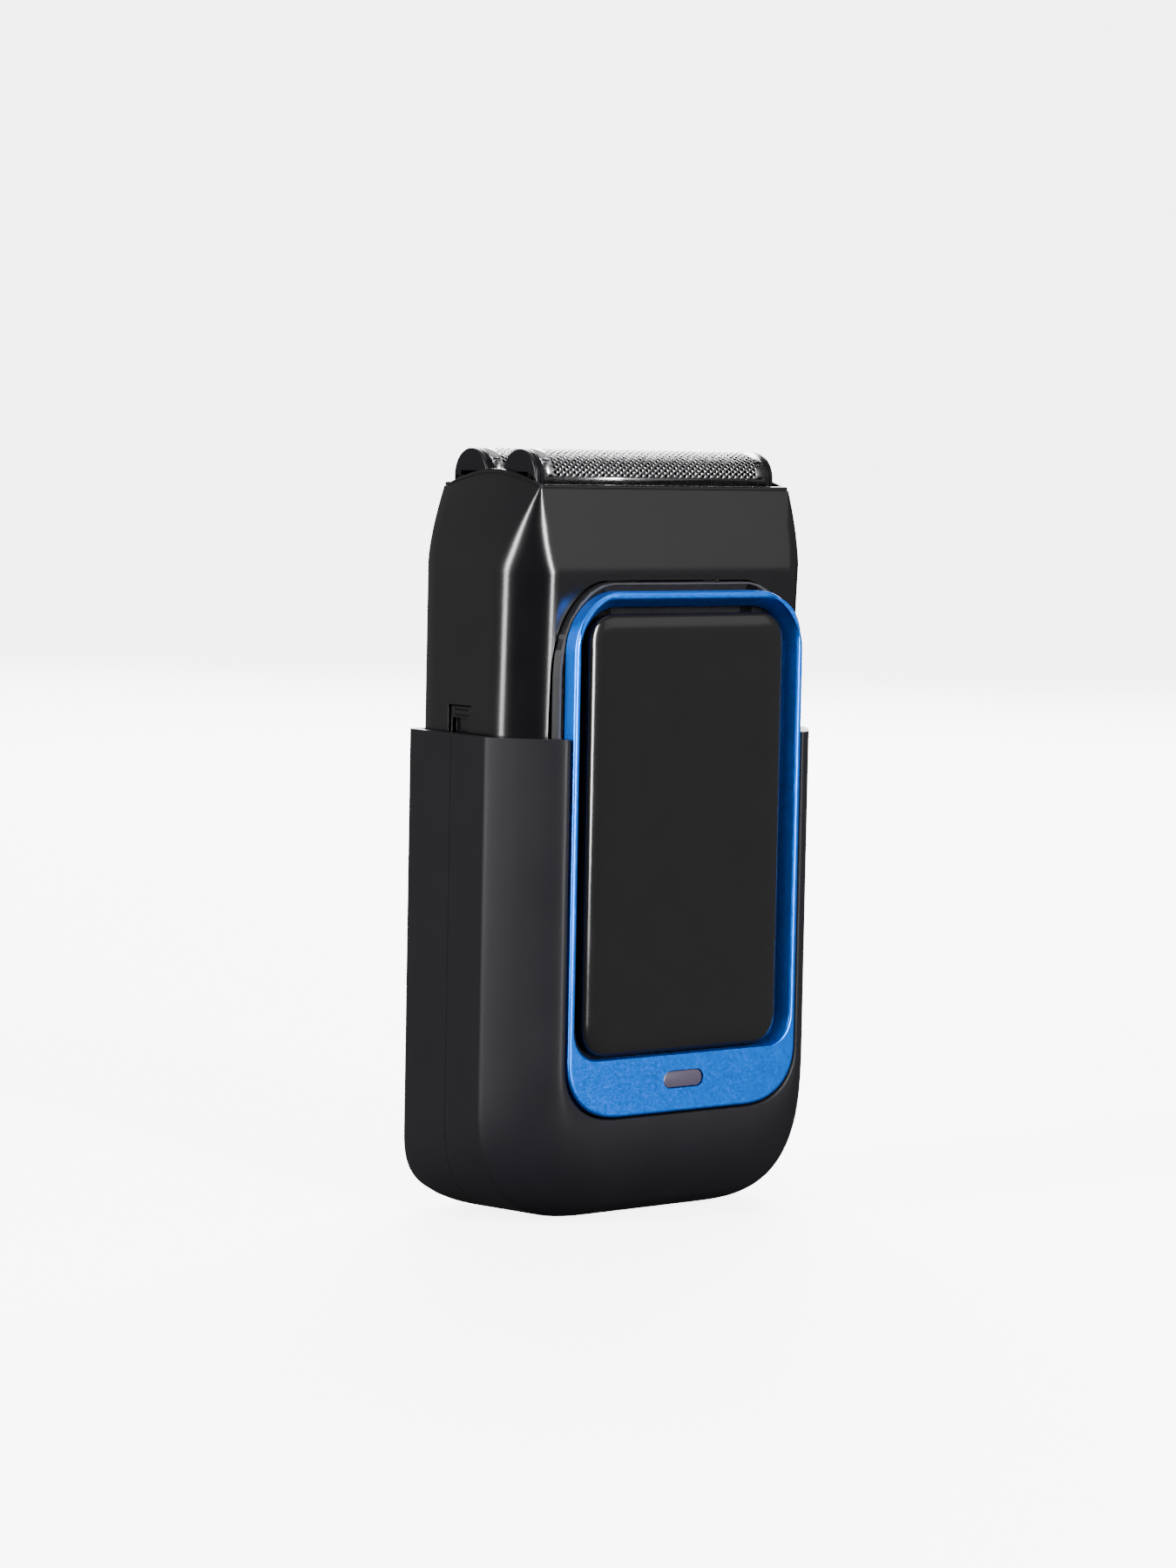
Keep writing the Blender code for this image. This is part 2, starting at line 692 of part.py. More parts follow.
def key_opening(grow):
    """The hole that the key sits in, grown from the key's own outline."""
    top_corner = (KEY_CORNER[0] + 2, KEY_CORNER[1] + 2, KEY_CORNER[2])
    return outline(KEY_HALF_WIDTH + grow, KEY_BOTTOM - 0.4, KEY_TOP + grow, KEY_CORNER, top_corner)


def pill_outline(grow):
    height = PILL_HALF_HEIGHT + grow
    corner = (height, height, 2.0)
    return outline(PILL_HALF_WIDTH + grow, PILL_Z - height, PILL_Z + height, corner, corner, steps=4)


def make_bezel():
    bezel = prism("bezel", bezel_outline(0), BEZEL_FRONT, BEZEL_REAR, "dark_plastic")
    plunger_hole = cylinder("cut_plunger_hole", (0, BEZEL_FRONT, SWITCH_Z), PLUNGER_HOLE_RADIUS, 6, "Y", None)
    led_hole = cylinder("cut_led_hole", (0, BEZEL_FRONT, PILL_Z), LED_HOLE_RADIUS, 6, "Y", None)
    boolean(bezel, plunger_hole)
    boolean(bezel, led_hole)
    return bezel


def make_blue_frame():
    frame = prism("blue_frame", frame_outline(0), FRAME_FRONT, FRAME_REAR, "blue_metal")
    lip_opening = FRAME_HALF_WIDTH - FRAME_LIP - KEY_HALF_WIDTH
    rear_opening = lip_opening - FRAME_SLOPE
    openings = [(FRAME_FRONT - 1, lip_opening), (FRAME_FRONT, lip_opening), (FRAME_REAR + 1, rear_opening)]
    rings = [[(x, y, z) for x, z in key_opening(grow)] for y, grow in openings]
    boolean(frame, loft("cut_key_opening", rings, None))
    boolean(frame, prism("cut_indicator", pill_outline(GAP), FRAME_FRONT - 1, FRAME_REAR + 1, None))


def make_power_key():
    key_outline = outline(KEY_HALF_WIDTH, KEY_BOTTOM, KEY_TOP, KEY_CORNER, KEY_CORNER)
    place = (0, KEY_REAR, (KEY_BOTTOM + KEY_TOP) / 2)
    prism("power_key", key_outline, KEY_FRONT, KEY_REAR, "black_gloss", place)
    plunger_front = KEY_REAR + GAP
    plunger_middle = (0, (plunger_front + PLUNGER_REAR) / 2, SWITCH_Z)
    length = PLUNGER_REAR - plunger_front
    look = "grey_plastic"
    cylinder("switch_plunger", plunger_middle, PLUNGER_RADIUS, length, "Y", look, plunger_middle, 16)


# Inside the handle


def make_electronics():
    slab("circuit_board", BOARD_HALF_WIDTH, BOARD_Y, BOARD_Z, "board_green")
    parts_rear = BOARD_Y[0] - GAP
    half = SWITCH_SIZE / 2
    switch_zs = (SWITCH_Z - half, SWITCH_Z + half)
    slab("power_switch", half, (SWITCH_FRONT, parts_rear), switch_zs, "grey_plastic", bevel=0.3)
    led_zs = (PILL_Z - LED_HALF_HEIGHT, PILL_Z + LED_HALF_HEIGHT)
    slab("indicator_led", LED_HALF_WIDTH, (LED_FRONT, parts_rear), led_zs, "lens")


def make_usb_socket():
    ys = (USB_Y - SOCKET_HALF_DEPTH, USB_Y + SOCKET_HALF_DEPTH)
    socket = slab("usb_socket", SOCKET_HALF_WIDTH, ys, SOCKET_Z, "steel", bevel=0.6)
    mouth_ys = (ys[0] + SOCKET_WALL, ys[1] - SOCKET_WALL)
    mouth_zs = (SOCKET_Z[0] - 1.5, SOCKET_Z[1] - SOCKET_BACK)
    mouth = slab("cut_usb_mouth", SOCKET_HALF_WIDTH - SOCKET_WALL, mouth_ys, mouth_zs, None, bevel=0.6)
    boolean(socket, mouth)


def add_boss(bezel, number, x, z):
    """A boss on the back of the bezel with a bore for the screw."""
    front = BEZEL_REAR - 0.5
    rear = CHASSIS_Y[0] - 0.2 - GAP
    boss = cylinder(f"cut_boss_{number}", (x, (front + rear) / 2, z), BOSS_RADIUS, rear - front, "Y", None)
    boolean(bezel, boss, "UNION")
    bore_middle = (x, (BEZEL_REAR + 0.4 + CHASSIS_Y[0] + 0.3) / 2, z)
    boolean(bezel, cylinder(f"cut_boss_bore_{number}", bore_middle, SCREW_HOLE_RADIUS, 4.0, "Y", None))


def make_screw(number, x, z):
    shank_middle = (x, sum(SCREW_SHANK_Y) / 2, z)
    length = SCREW_SHANK_Y[1] - SCREW_SHANK_Y[0]
    shank = cylinder(f"chassis_screw_{number}", shank_middle, SCREW_RADIUS, length, "Y", "steel", sides=14)
    head_middle = (x, sum(SCREW_HEAD_Y) / 2, z)
    head_length = SCREW_HEAD_Y[1] - SCREW_HEAD_Y[0]
    name = f"cut_screw_head_{number}"
    boolean(shank, cylinder(name, head_middle, SCREW_HEAD_RADIUS, head_length, "Y", None, sides=14), "UNION")


def make_chassis(bezel):
    """The plate behind the circuit board, held to the bezel by a screw near each corner."""
    plate = slab("inner_chassis", CHASSIS_HALF_WIDTH, CHASSIS_Y, CHASSIS_Z, "grey_plastic", bevel=0.3)
    corners = [(x, z) for x in (-SCREW_X, SCREW_X) for z in SCREW_ZS]
    for number, (x, z) in enumerate(corners, start=1):
        hole_middle = (x, sum(CHASSIS_Y) / 2, z)
        boolean(plate, cylinder(f"cut_screw_hole_{number}", hole_middle, SCREW_HOLE_RADIUS, 6, "Y", None))
        add_boss(bezel, number, x, z)
        make_screw(number, x, z)


def make_battery():
    middle = (CELL_X, CELL_Y, sum(CELL_Z) / 2)
    cylinder("battery_cell", middle, CELL_RADIUS, CELL_Z[1] - CELL_Z[0], "Z", "cell_wrap", middle, 28)
    tab_bottoms = {"bottom": CELL_Z[0] - GAP - TAB_THICKNESS, "top": CELL_Z[1] + GAP}
    for end, z in tab_bottoms.items():
        low = (TAB_X[0], CELL_Y - TAB_HALF_DEPTH, z)
        high = (TAB_X[1], CELL_Y + TAB_HALF_DEPTH, z + TAB_THICKNESS)
        box(f"battery_tab_{end}", low, high, "brass")


# Drive


def make_drive_housing():
    half = HOUSING_HALF_WIDTH
    wall = HOUSING_WALL
    outer_ys = (HOUSING_FRONT, HOUSING_REAR)
    inner_ys = (HOUSING_FRONT + wall, HOUSING_REAR - wall)
    housing = slab("drive_housing", half, outer_ys, (HOUSING_BOTTOM, HOUSING_TOP), "dark_plastic")
    inner_zs = (HOUSING_BOTTOM - 2, HOUSING_TOP - wall)
    boolean(housing, slab("cut_housing_hollow", half - wall, inner_ys, inner_zs, None))
    hole_middle = (0, DRIVE_Y, HOUSING_TOP)
    boolean(housing, cylinder("cut_shaft_hole", hole_middle, SHAFT_HOLE_RADIUS, 8, "Z", None))


def make_motor():
    bore = SHAFT_RADIUS + SHAFT_CLEARANCE
    bell_top = MOTOR_Z[0] - GAP
    seal_top = HOUSING_TOP - HOUSING_WALL - GAP
    ring("motor_can", 0, DRIVE_Y, *MOTOR_Z, bore, MOTOR_RADIUS, "steel", 28)
    ring("motor_end_bell", 0, DRIVE_Y, END_BELL_BOTTOM, bell_top, bore, END_BELL_RADIUS, "grey_plastic")
    ring("drive_seal", 0, DRIVE_Y, SEAL_BOTTOM, seal_top, bore, SEAL_RADIUS, "rubber")
    shaft_middle = (0, DRIVE_Y, sum(SHAFT_Z) / 2)
    shaft_length = SHAFT_Z[1] - SHAFT_Z[0]
    cylinder("motor_shaft", shaft_middle, SHAFT_RADIUS, shaft_length, "Z", "steel", shaft_middle, 16)


def make_eccentric():
    """A hub on the shaft with a pin standing off its middle, which works the bridge."""
    hub_middle = (0, DRIVE_Y, sum(HUB_Z) / 2)
    hub_place = (0, DRIVE_Y, HUB_Z[0])
    hub_height = HUB_Z[1] - HUB_Z[0]
    hub = cylinder("eccentric", hub_middle, HUB_RADIUS, hub_height, "Z", "grey_plastic", hub_place)
    bore_bottom = HUB_Z[0] - 2
    bore_middle = (0, DRIVE_Y, (bore_bottom + HUB_BORE_TOP) / 2)
    bore_length = HUB_BORE_TOP - bore_bottom
    boolean(hub, cylinder("cut_eccentric_bore", bore_middle, SHAFT_RADIUS + GAP, bore_length, "Z", None))
    pin_middle = (ECCENTRICITY, DRIVE_Y, sum(ECCENTRIC_PIN_Z) / 2)
    pin_length = ECCENTRIC_PIN_Z[1] - ECCENTRIC_PIN_Z[0]
    pin = cylinder("cut_eccentric_pin", pin_middle, ECCENTRIC_PIN_RADIUS, pin_length, "Z", None, sides=16)
    boolean(hub, pin, "UNION")


def make_bridge():
    """The plate that the eccentric shuttles from side to side, with a tongue running in each guide."""
    bridge = slab("drive_bridge", BRIDGE_HALF_WIDTH, BRIDGE_Y, BRIDGE_Z, "grey_plastic")
    boolean(bridge, slab("cut_bridge_tongue", TONGUE_HALF_WIDTH, TONGUE_Y, TONGUE_Z, None), "UNION")
    boolean(bridge, slab("cut_eccentric_slot", DRIVE_SLOT_HALF_WIDTH, DRIVE_SLOT_Y, (90, 98), None))
    for side, sign in LEFT_RIGHT.items():
        x_low, x_high = sorted(sign * x for x in GUIDE_X)
        low = (x_low, GUIDE_Y[0], HOUSING_TOP + GAP)
        guide = box(f"bridge_guide_{side}", low, (x_high, GUIDE_Y[1], GUIDE_TOP), "grey_plastic")
        slot_low = (x_low - 2.5, TONGUE_Y[0] - GAP, TONGUE_Z[0] - GAP)
        slot_high = (x_high + 2.5, TONGUE_Y[1] + GAP, TONGUE_Z[1] + GAP)
        boolean(guide, box(f"cut_guide_slot_{side}", slot_low, slot_high, None))


def make_latch(side, sign):
    x_low, x_high = sorted(sign * x for x in LATCH_X)
    low = (x_low, LATCH_Y - LATCH_HALF_WIDTH, LATCH_Z[0])
    high = (x_high, LATCH_Y + LATCH_HALF_WIDTH, LATCH_Z[1])
    latch = box(f"latch_{side}", low, high, "dark_plastic", (sign * LATCH_X[1], LATCH_Y, LATCH_Z[1]))
    ridge_low, ridge_high = sorted((sign * (LATCH_X[1] - 1), sign * (LATCH_X[1] + RIDGE_PROUD)))
    low = (ridge_low, LATCH_Y - RIDGE_HALF_WIDTH, RIDGE_Z[0])
    high = (ridge_high, LATCH_Y + RIDGE_HALF_WIDTH, RIDGE_Z[1])
    boolean(latch, box(f"cut_latch_ridge_{side}", low, high, None), "UNION")


def make_latch_spring(side, sign):
    spring_low = HOUSING_HALF_WIDTH + GAP
    spring_high = LATCH_X[0] - GAP
    middle = (sign * (spring_low + spring_high) / 2, LATCH_Y, LATCH_SPRING_Z)
    length = spring_high - spring_low
    coil(f"latch_spring_{side}", middle, LATCH_SPRING_RADIUS, LATCH_SPRING_WIRE, length, 3, "X", "steel")


clear_scene()
parts = new_collection(OBJECT_NAME)
cutters = new_collection("cutters")
cutters.hide_render = True
materials = {name: new_material(name, *look) for name, look in COLOURS.items()}

make_handle_shells()
make_head_shell()
make_top_frame()
for foil_place, foil_y in FOIL_YS.items():
    make_foil_unit(foil_place, foil_y)
    make_cutter(foil_place, foil_y)
bezel_plate = make_bezel()
make_blue_frame()
prism("indicator_lens", pill_outline(0), FRAME_FRONT + 0.15, FRAME_REAR, "lens")
make_power_key()
make_electronics()
make_usb_socket()
make_chassis(bezel_plate)
make_battery()
make_drive_housing()
make_motor()
make_eccentric()
make_bridge()
for latch_side, latch_sign in LEFT_RIGHT.items():
    make_latch(latch_side, latch_sign)
    make_latch_spring(latch_side, latch_sign)
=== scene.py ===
"""Looks for the electric shaver: fine surfaces, materials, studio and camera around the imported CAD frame.

Sizes are in millimetres, in the frame's own axes (+Z up, the power key faces -Y), and become metres
where a mesh is made.
"""

import json
import math

import bmesh
import bpy
from mathutils import Matrix, Vector


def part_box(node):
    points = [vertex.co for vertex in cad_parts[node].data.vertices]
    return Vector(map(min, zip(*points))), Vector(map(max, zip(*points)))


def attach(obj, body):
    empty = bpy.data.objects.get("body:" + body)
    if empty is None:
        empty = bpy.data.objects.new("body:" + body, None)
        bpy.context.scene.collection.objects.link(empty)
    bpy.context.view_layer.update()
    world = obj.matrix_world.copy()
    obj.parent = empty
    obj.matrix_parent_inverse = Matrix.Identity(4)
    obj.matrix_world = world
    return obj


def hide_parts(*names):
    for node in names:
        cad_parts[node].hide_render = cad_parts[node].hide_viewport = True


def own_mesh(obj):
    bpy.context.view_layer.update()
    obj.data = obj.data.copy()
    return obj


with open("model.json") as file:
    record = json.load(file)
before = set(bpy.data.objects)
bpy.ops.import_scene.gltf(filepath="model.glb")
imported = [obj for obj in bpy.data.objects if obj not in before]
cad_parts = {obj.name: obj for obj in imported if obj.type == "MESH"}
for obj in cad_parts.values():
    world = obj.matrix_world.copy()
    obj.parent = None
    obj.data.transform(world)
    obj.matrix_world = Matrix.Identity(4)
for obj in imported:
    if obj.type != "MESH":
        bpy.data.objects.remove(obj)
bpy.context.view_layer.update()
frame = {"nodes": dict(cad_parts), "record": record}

LEFT_RIGHT = {"left": -1, "right": 1}


def node_mm(node):
    """A CAD node's lowest and highest corners, in millimetres."""
    low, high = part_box(node)
    return [v * 1000 for v in low], [v * 1000 for v in high]


# ---------------------------------------------------------------- sizes taken from the frame

HANDLE_LOW, HANDLE_HIGH = node_mm("handle_front_shell")
FRAME_LOW, FRAME_HIGH = node_mm("blue_frame")
KEY_LOW, KEY_HIGH = node_mm("power_key")
BEZEL_LOW, BEZEL_HIGH = node_mm("bezel")

# Handle shells
HANDLE_TOP = HANDLE_HIGH[2]
HANDLE_HALF_WIDTH = HANDLE_HIGH[0]
HANDLE_FRONT = HANDLE_LOW[1]
HANDLE_REAR = node_mm("handle_rear_shell")[1][1]
CREASE_Y = -5.7
PILLOW_SIDE = 6.9  # how far the front face stands in from the crease at each side
PILLOW_SIDE_POWER = 1.12
PILLOW_BASE = 7.2
PILLOW_BASE_POWER = 1.6
BEND_START = 0.45  # where on the pillow its bend into the front face starts
BEND_END = 0.8  # how far towards the window that bend runs
WINDOW_GAP = 0.3
WINDOW_LIP = 0.35
SIDE_TAPER = 1.1
REAR_ROUND = 1.6
FOOT_REAR_Y = 7.0
FOOT_REAR_RISE = 2.6
FRONT_BASE = (10.3, 19.5, 2.8)  # half width of the foot, corner height and power at the crease
REAR_BASE = (15.0, 10.0, 3.0)
WALL = 1.3
FRONT_SIDE_YS = (1.0, -1.5, -3.5, -5.0)  # depths of the outlines between the seam and the crease
CREASE_HOLD = 0.15  # a narrow strip behind the crease that keeps it crisp
REAR_SIDE_YS = (5.0, FOOT_REAR_Y, 8.5, 10.0, 11.5)
BACK_ROWS = (0.66, 0.33, 0.0)  # the rows over the flat back, as parts of its half width
PORT_HALF_WIDTH = 4.9
PORT_HALF_DEPTH = 2.0
PORT_CUT_ZS = (-1.0, 6.0)
COLLAR_INSET = 0.05
COLLAR_DROP = 0.6  # from the mouth's edge down to the ledge
COLLAR_HEIGHT = 5.0
COLLAR_GAP = 0.28  # round the head's skirt
COLLAR_CUT_ZS = (-8.0, 3.0)  # measured from the ledge
COLLAR_OPENING = ((-22.6, -20.0), (22.6, -9.0))  # where the bezel passes through, in plan
SEAM_Y = 3.0
SEAM_GAP = 0.07
RIM_EDGE = 0.22
RIM_EDGE_ANGLE = 50.0  # only edges that turn by more than this are rounded

# Foil head
HEAD_WALL = 1.0
SKIRT_BOTTOM = node_mm("head_shell")[0][2]
HEAD_LOWER = {"z": 73.0, "half_width": 27.7, "front": -10.5, "rear": 13.35, "bulge": 0.0}
SHOULDER = {"z": 94.6, "half_width": 27.95, "front": -11.4, "rear": 12.9, "bulge": 0.9}
RIM = {"z": 107.0, "half_width": 23.2, "front": -8.8, "rear": 15.35, "bulge": 0.0}
HEAD_CHAMFER_X = 5.0
HEAD_CHAMFER_Y = 5.0
REAR_CHAMFER_X = 0.5
REAR_CHAMFER_Y = 2.2
BULGE_EDGE = 8.0
LEAST_CHAMFER = 0.2
RIM_ARCH = 2.1
# How far below the rim, and how far in from the wall: a fine groove and then the rounded rim
RIM_PROFILE = ((0.62, 0.0), (0.58, 0.12), (0.46, 0.12), (0.42, 0.0), (0.15, 0.0), (0.04, 0.05), (0.0, 0.16))
TAPER_POWER = 1.35
SHOULDER_HOLD = 0.5  # a narrow strip below the shoulder that keeps it crisp
GROOVE_START = 0.75  # how far below the rim the plain wall ends
RIM_THINNING = 0.4  # how much thinner the wall is at the rim
SIDE_EDGE_REACH = 2.2
FRONT_EDGE_REACH = 1.5
REAR_EDGE_REACH = 1.2
BULGE_REACH = 4.0
LARGEST_REACH = 0.45  # of a side, so that two rounded corners never meet
LONG_SIDE = 8.0  # only the straight sides are longer than this
SIDE_STEPS = 16  # along each straight side, which rises in the arch
HEAD_EDGE = 0.10
HEAD_SHARP = 30.0
CUT_FRONT = -20.0  # in front of everything
ARCH_CUT_BELOW = 6.0
ARCH_CUT_DEPTH = 2.0
CATCH_CUT_BELOW = 3.0

# Control face
ARCH_HALF_WIDTH = 22.35
ARCH_TOP = 93.3
ARCH_GAP = 0.18
BEZEL_EDGE = 0.35
BEZEL_BEND = 0.3  # where the rounded edge turns, as a part of it
BEZEL_REAR = -11.0
PLUNGER_GAP = 0.3
PLUNGER_CUT = 5.0  # how far the opening for the plunger is cut past both its ends
ARCH_CORNER = (9.6, 13.3, 2.0)  # width, height and roundness power, as for each corner below
ARCH_BASE_CORNER = (1, 1, 2)
FRAME_TOP_CORNER = (8.4, 9.0, 2.0)
FRAME_BASE_CORNER = (9.8, 8.6, 2.3)
FRAME_LIP = 1.0
FRAME_SLOPE = 1.1
FRAME_DEPTH = 1.7  # the slope's depth
FRAME_EDGE = 0.45
INNER_EDGE = 0.35
OPENING_ROUNDER = 2.0  # how much rounder the ring's opening is than the key, at the top
OPENING_BASE_GAP = 0.4
HOLDING = 0.04  # a narrow strip that keeps the shading of the flat lip flat
KEY_CORNER = (4.6, 4.8, 2.2)
KEY_LEAST_CORNER = 1.5
KEY_TIGHTENING = 0.5  # how fast its corners shrink towards the middle
KEY_BORDER = 4.0  # inside this the key's face lies flat
KEY_DROP = 0.9  # how far the rounded border falls away
PILL_HALF_WIDTH = 3.65
PILL_HALF_HEIGHT = 1.2
PILL_Z = 20.55
PILL_GAP = 0.12
PILL_PROFILE = ((0.0, 2.2), (0.0, 0.2), (0.06, 0.06), (0.2, 0.0))  # inset, and depth behind its face

# Side catches
CATCH_CLEARANCE = 0.2
CATCH_EDGE = 0.07
CATCH_SINK = 0.12  # how far its face lies behind the CAD part's
CATCH_SLOT_X = (23.0, 32.0)  # the reach of the slot cut in the head's side
# Grooves above and below the thumb ridge, then the pocket: z range, depth, and y range about the middle
CATCH_CUTS = ((74.05, 74.25, 0.3, -1.7, 1.7), (73.2, 73.4, 0.3, -1.7, 1.7), (60.0, 72.9, 0.8, -1.4, 2.2))

# Foils
FOIL_YS = {"front": -2.4, "rear": 9.2}
FOIL_RADIUS = 4.0
FOIL_AXIS_Z = 108.0
FOIL_SKIRT_Z = 106.9
FOIL_HALF_LENGTH = 20.9
CAP_OUTER_X = 22.5
CAP_GAP = 0.02
# An end cap's profile as (x, inset): beads counted from its inner end, then its crown from its outer end
CAP_BEADS = ((0.0, 0.15), (0.1, 0.0), (0.5, 0.0), (0.6, 0.12), (0.75, 0.12), (0.85, 0.0))
CAP_CROWN = ((0.35, 0.0), (0.15, 0.06), (0.06, 0.2), (0.03, 0.5), (0.0, 1.8))
FOIL_MARGIN = 1.5
SLOT_ARC = 2.9  # how far up each slope a slot runs across the plain margin
SLOT_HALF_HEIGHT = 0.13
SLOT_END = 0.2  # plain foil between a slot and the foil's end
HOLE_PITCH = 1.19
HOLE_ROW = 0.36
HOLE_HALF_WIDTH = 0.32
HOLE_HALF_HEIGHT = 0.28
FOIL_SHEET = 0.10
CAP_STEPS = 36

# Cutters
BLADE_PITCH = 0.9
BLADE = 0.35
BLADE_START = 0.25  # where in each pitch a blade starts
BLADE_STEPS = 16
SPINE_HALF_DEPTH = 2.2
SPINE_HEIGHT = 3.0

# Studio, in metres, watts and degrees
CAMERA_PLACE = (-0.40711, -0.50515, 0.11373)
CAMERA_TURN = (38.4, 4.51, 1.09)  # yaw, pitch and roll
CAMERA_LENS = 100.74  # millimetres
FLOOR_RADIUS = 12.0
FLOOR_DROP = 0.0004
SUN_POWER = 1.9  # watts for each square metre
SUN_ANGLE = 70
LIGHT_SPREAD = 120
LIGHT_AIM = (0.0, 0.0, 0.075)
# Name, place, width, height and power
AREA_LIGHTS = (
    ("strip_left", (-0.975, 0.03, 0.30), 0.15, 0.70, 12.0),
    ("strip_front", (-0.05, -0.95, 0.30), 0.12, 0.70, 16.0),
    ("box_front", (0.75, -0.95, 0.55), 0.70, 0.50, 0.5),
    ("fill_rear", (0.95, 1.00, 0.80), 1.20, 0.90, 36.0),
)
SURROUND_AXIS = (0.62, -0.77, 0.0)  # the surround is brightest both ways along this line
SURROUND_LOW = 0.02
SURROUND_HIGH = 0.46
SURROUND_SEEN = 5.5
FLOOR_GLOW = 5.0


# ---------------------------------------------------------------- mesh helpers


def piece_from(name, points, faces, look, body, stands_for=(), sharp=34.0):
    """A named piece from points in millimetres, welded, facing out, riding on a CAD body."""
    mesh = bpy.data.meshes.new(name)
    mesh.from_pydata([Vector(point) / 1000 for point in points], [], faces)
    bm = bmesh.new()
    bm.from_mesh(mesh)
    bmesh.ops.remove_doubles(bm, verts=bm.verts, dist=2e-6)
    bmesh.ops.dissolve_degenerate(bm, edges=bm.edges, dist=1e-6)
    bmesh.ops.recalc_face_normals(bm, faces=bm.faces)
    bm.to_mesh(mesh)
    bm.free()
    return piece_of_mesh(name, mesh, look, body, stands_for, sharp)


def piece_of_mesh(name, mesh, look, body, stands_for=(), sharp=34.0):
    """A smooth-shaded object of this mesh that rides on a body; edges past the sharp angle stay crisp."""
    piece = bpy.data.objects.new(name, mesh)
    bpy.context.scene.collection.objects.link(piece)
    mesh.materials.clear()
    mesh.materials.append(look)
    mesh.shade_smooth()
    mesh.set_sharp_from_angle(angle=math.radians(sharp))
    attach(piece, body)
    if stands_for:
        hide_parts(*stands_for)
    return piece


def grid_faces(rows, columns, close_rows=False, close_columns=False, start=0, flip=False):
    """Quads over a grid of points listed row by row."""
    faces = []
    for row in range(rows if close_rows else rows - 1):
        for column in range(columns if close_columns else columns - 1):
            a = start + row * columns + column
            b = start + row * columns + (column + 1) % columns
            c = start + ((row + 1) % rows) * columns + (column + 1) % columns
            d = start + ((row + 1) % rows) * columns + column
            faces.append((a, d, c, b) if flip else (a, b, c, d))
    return faces


def thick_sheet(outer, inner, join_first=True, join_last=True, closed=False):
    """Points and faces of a sheet with an outer and an inner side of equal rows, joined at its edges."""
    rows, columns = len(outer), len(outer[0])
    points = [p for row in outer for p in row] + [p for row in inner for p in row]
    shift = rows * columns
    faces = grid_faces(rows, columns, close_columns=closed)
    faces += grid_faces(rows, columns, close_columns=closed, start=shift, flip=True)
    across = columns if closed else columns - 1
    for wanted, row in ((join_first, 0), (join_last, rows - 1)):
        if wanted:
            for column in range(across):
                a = row * columns + column
                b = row * columns + (column + 1) % columns
                faces.append((a, b, b + shift, a + shift))
    if not closed:
        for column in (0, columns - 1):
            for row in range(rows - 1):
                a = row * columns + column
                b = a + columns
                faces.append((a, b, b + shift, a + shift))
    return points, faces


def loft(loops, close_ends=True):
    """Points and faces through closed loops of equal count, with flat ends."""
    rows, columns = len(loops), len(loops[0])
    points = [p for loop in loops for p in loop]
    faces = grid_faces(rows, columns, close_columns=True)
    if close_ends:
        faces.append(tuple(range(columns)))
        faces.append(tuple(range((rows - 1) * columns, rows * columns)))
    return points, faces


def closed_band(loops):
    """A ring-shaped solid: closed loops, the last joined back to the first."""
    points = [p for loop in loops for p in loop]
    return points, grid_faces(len(loops), len(loops[0]), close_rows=True, close_columns=True)


def add_bevel(piece, width, segments=3, angle=40.0):
    """Round every edge that turns by more than the angle."""
    edge = piece.modifiers.new("edge", "BEVEL")
    edge.width = width / 1000
    edge.segments = segments
    edge.limit_method = "ANGLE"
    edge.angle_limit = math.radians(angle)
    edge.use_clamp_overlap = True
    edge.harden_normals = True
    return edge


def helper_object(name, points, faces):
    """A mesh used once by a Boolean and then removed."""
    mesh = bpy.data.meshes.new(name)
    mesh.from_pydata([Vector(point) / 1000 for point in points], [], faces)
    bm = bmesh.new()
    bm.from_mesh(mesh)
    bmesh.ops.recalc_face_normals(bm, faces=bm.faces)
    bm.to_mesh(mesh)
    bm.free()
    helper = bpy.data.objects.new(name, mesh)
    bpy.context.scene.collection.objects.link(helper)
    return helper


def cut(piece, points, faces, operation="DIFFERENCE"):
    """Apply a Boolean at once, so that no helper is left in the scene."""
    helper = helper_object("cutting_shape", points, faces)
    step = piece.modifiers.new("cut", "BOOLEAN")
    step.operation = operation
    step.solver = "EXACT"
    step.object = helper
    bpy.context.view_layer.update()
    graph = bpy.context.evaluated_depsgraph_get()
    result = bpy.data.meshes.new_from_object(piece.evaluated_get(graph))
    piece.modifiers.remove(step)
    piece.data = result
    bpy.data.objects.remove(helper)


def at_depth(outline, y):
    """A flat outline of (x, z) as points at this depth."""
    return [(x, y, z) for x, z in outline]


def prism(outline, y_front, y_rear):
    """A flat outline of (x, z) drawn out in depth."""
    return loft([at_depth(outline, y) for y in (y_front, y_rear)])


def tower(plan, zs):
    """A plan of (x, y) drawn out in height."""
    return loft([[(x, y, z) for x, y in plan] for z in zs])


def block(low, high):
    """A box between two opposite corners."""
    xs, ys, zs = zip(low, high)
    loops = [[(xs[0], y, zs[0]), (xs[1], y, zs[0]), (xs[1], y, zs[1]), (xs[0], y, zs[1])] for y in ys]
    return loft(loops)


# ---------------------------------------------------------------- outlines


def quarter(part):
    """The drop of a quarter circle: 0 at its start and 1 at its end."""
    return 1 - math.sqrt(max(0.0, 1 - part * part))


def quarter_round(steps):
    """The steps of a rounded edge: how much of its inset has begun, and how much of its drop is left."""
    turns = [math.pi / 2 * step / steps for step in range(steps + 1)]
    return [(1 - math.cos(turn), 1 - math.sin(turn)) for turn in turns]


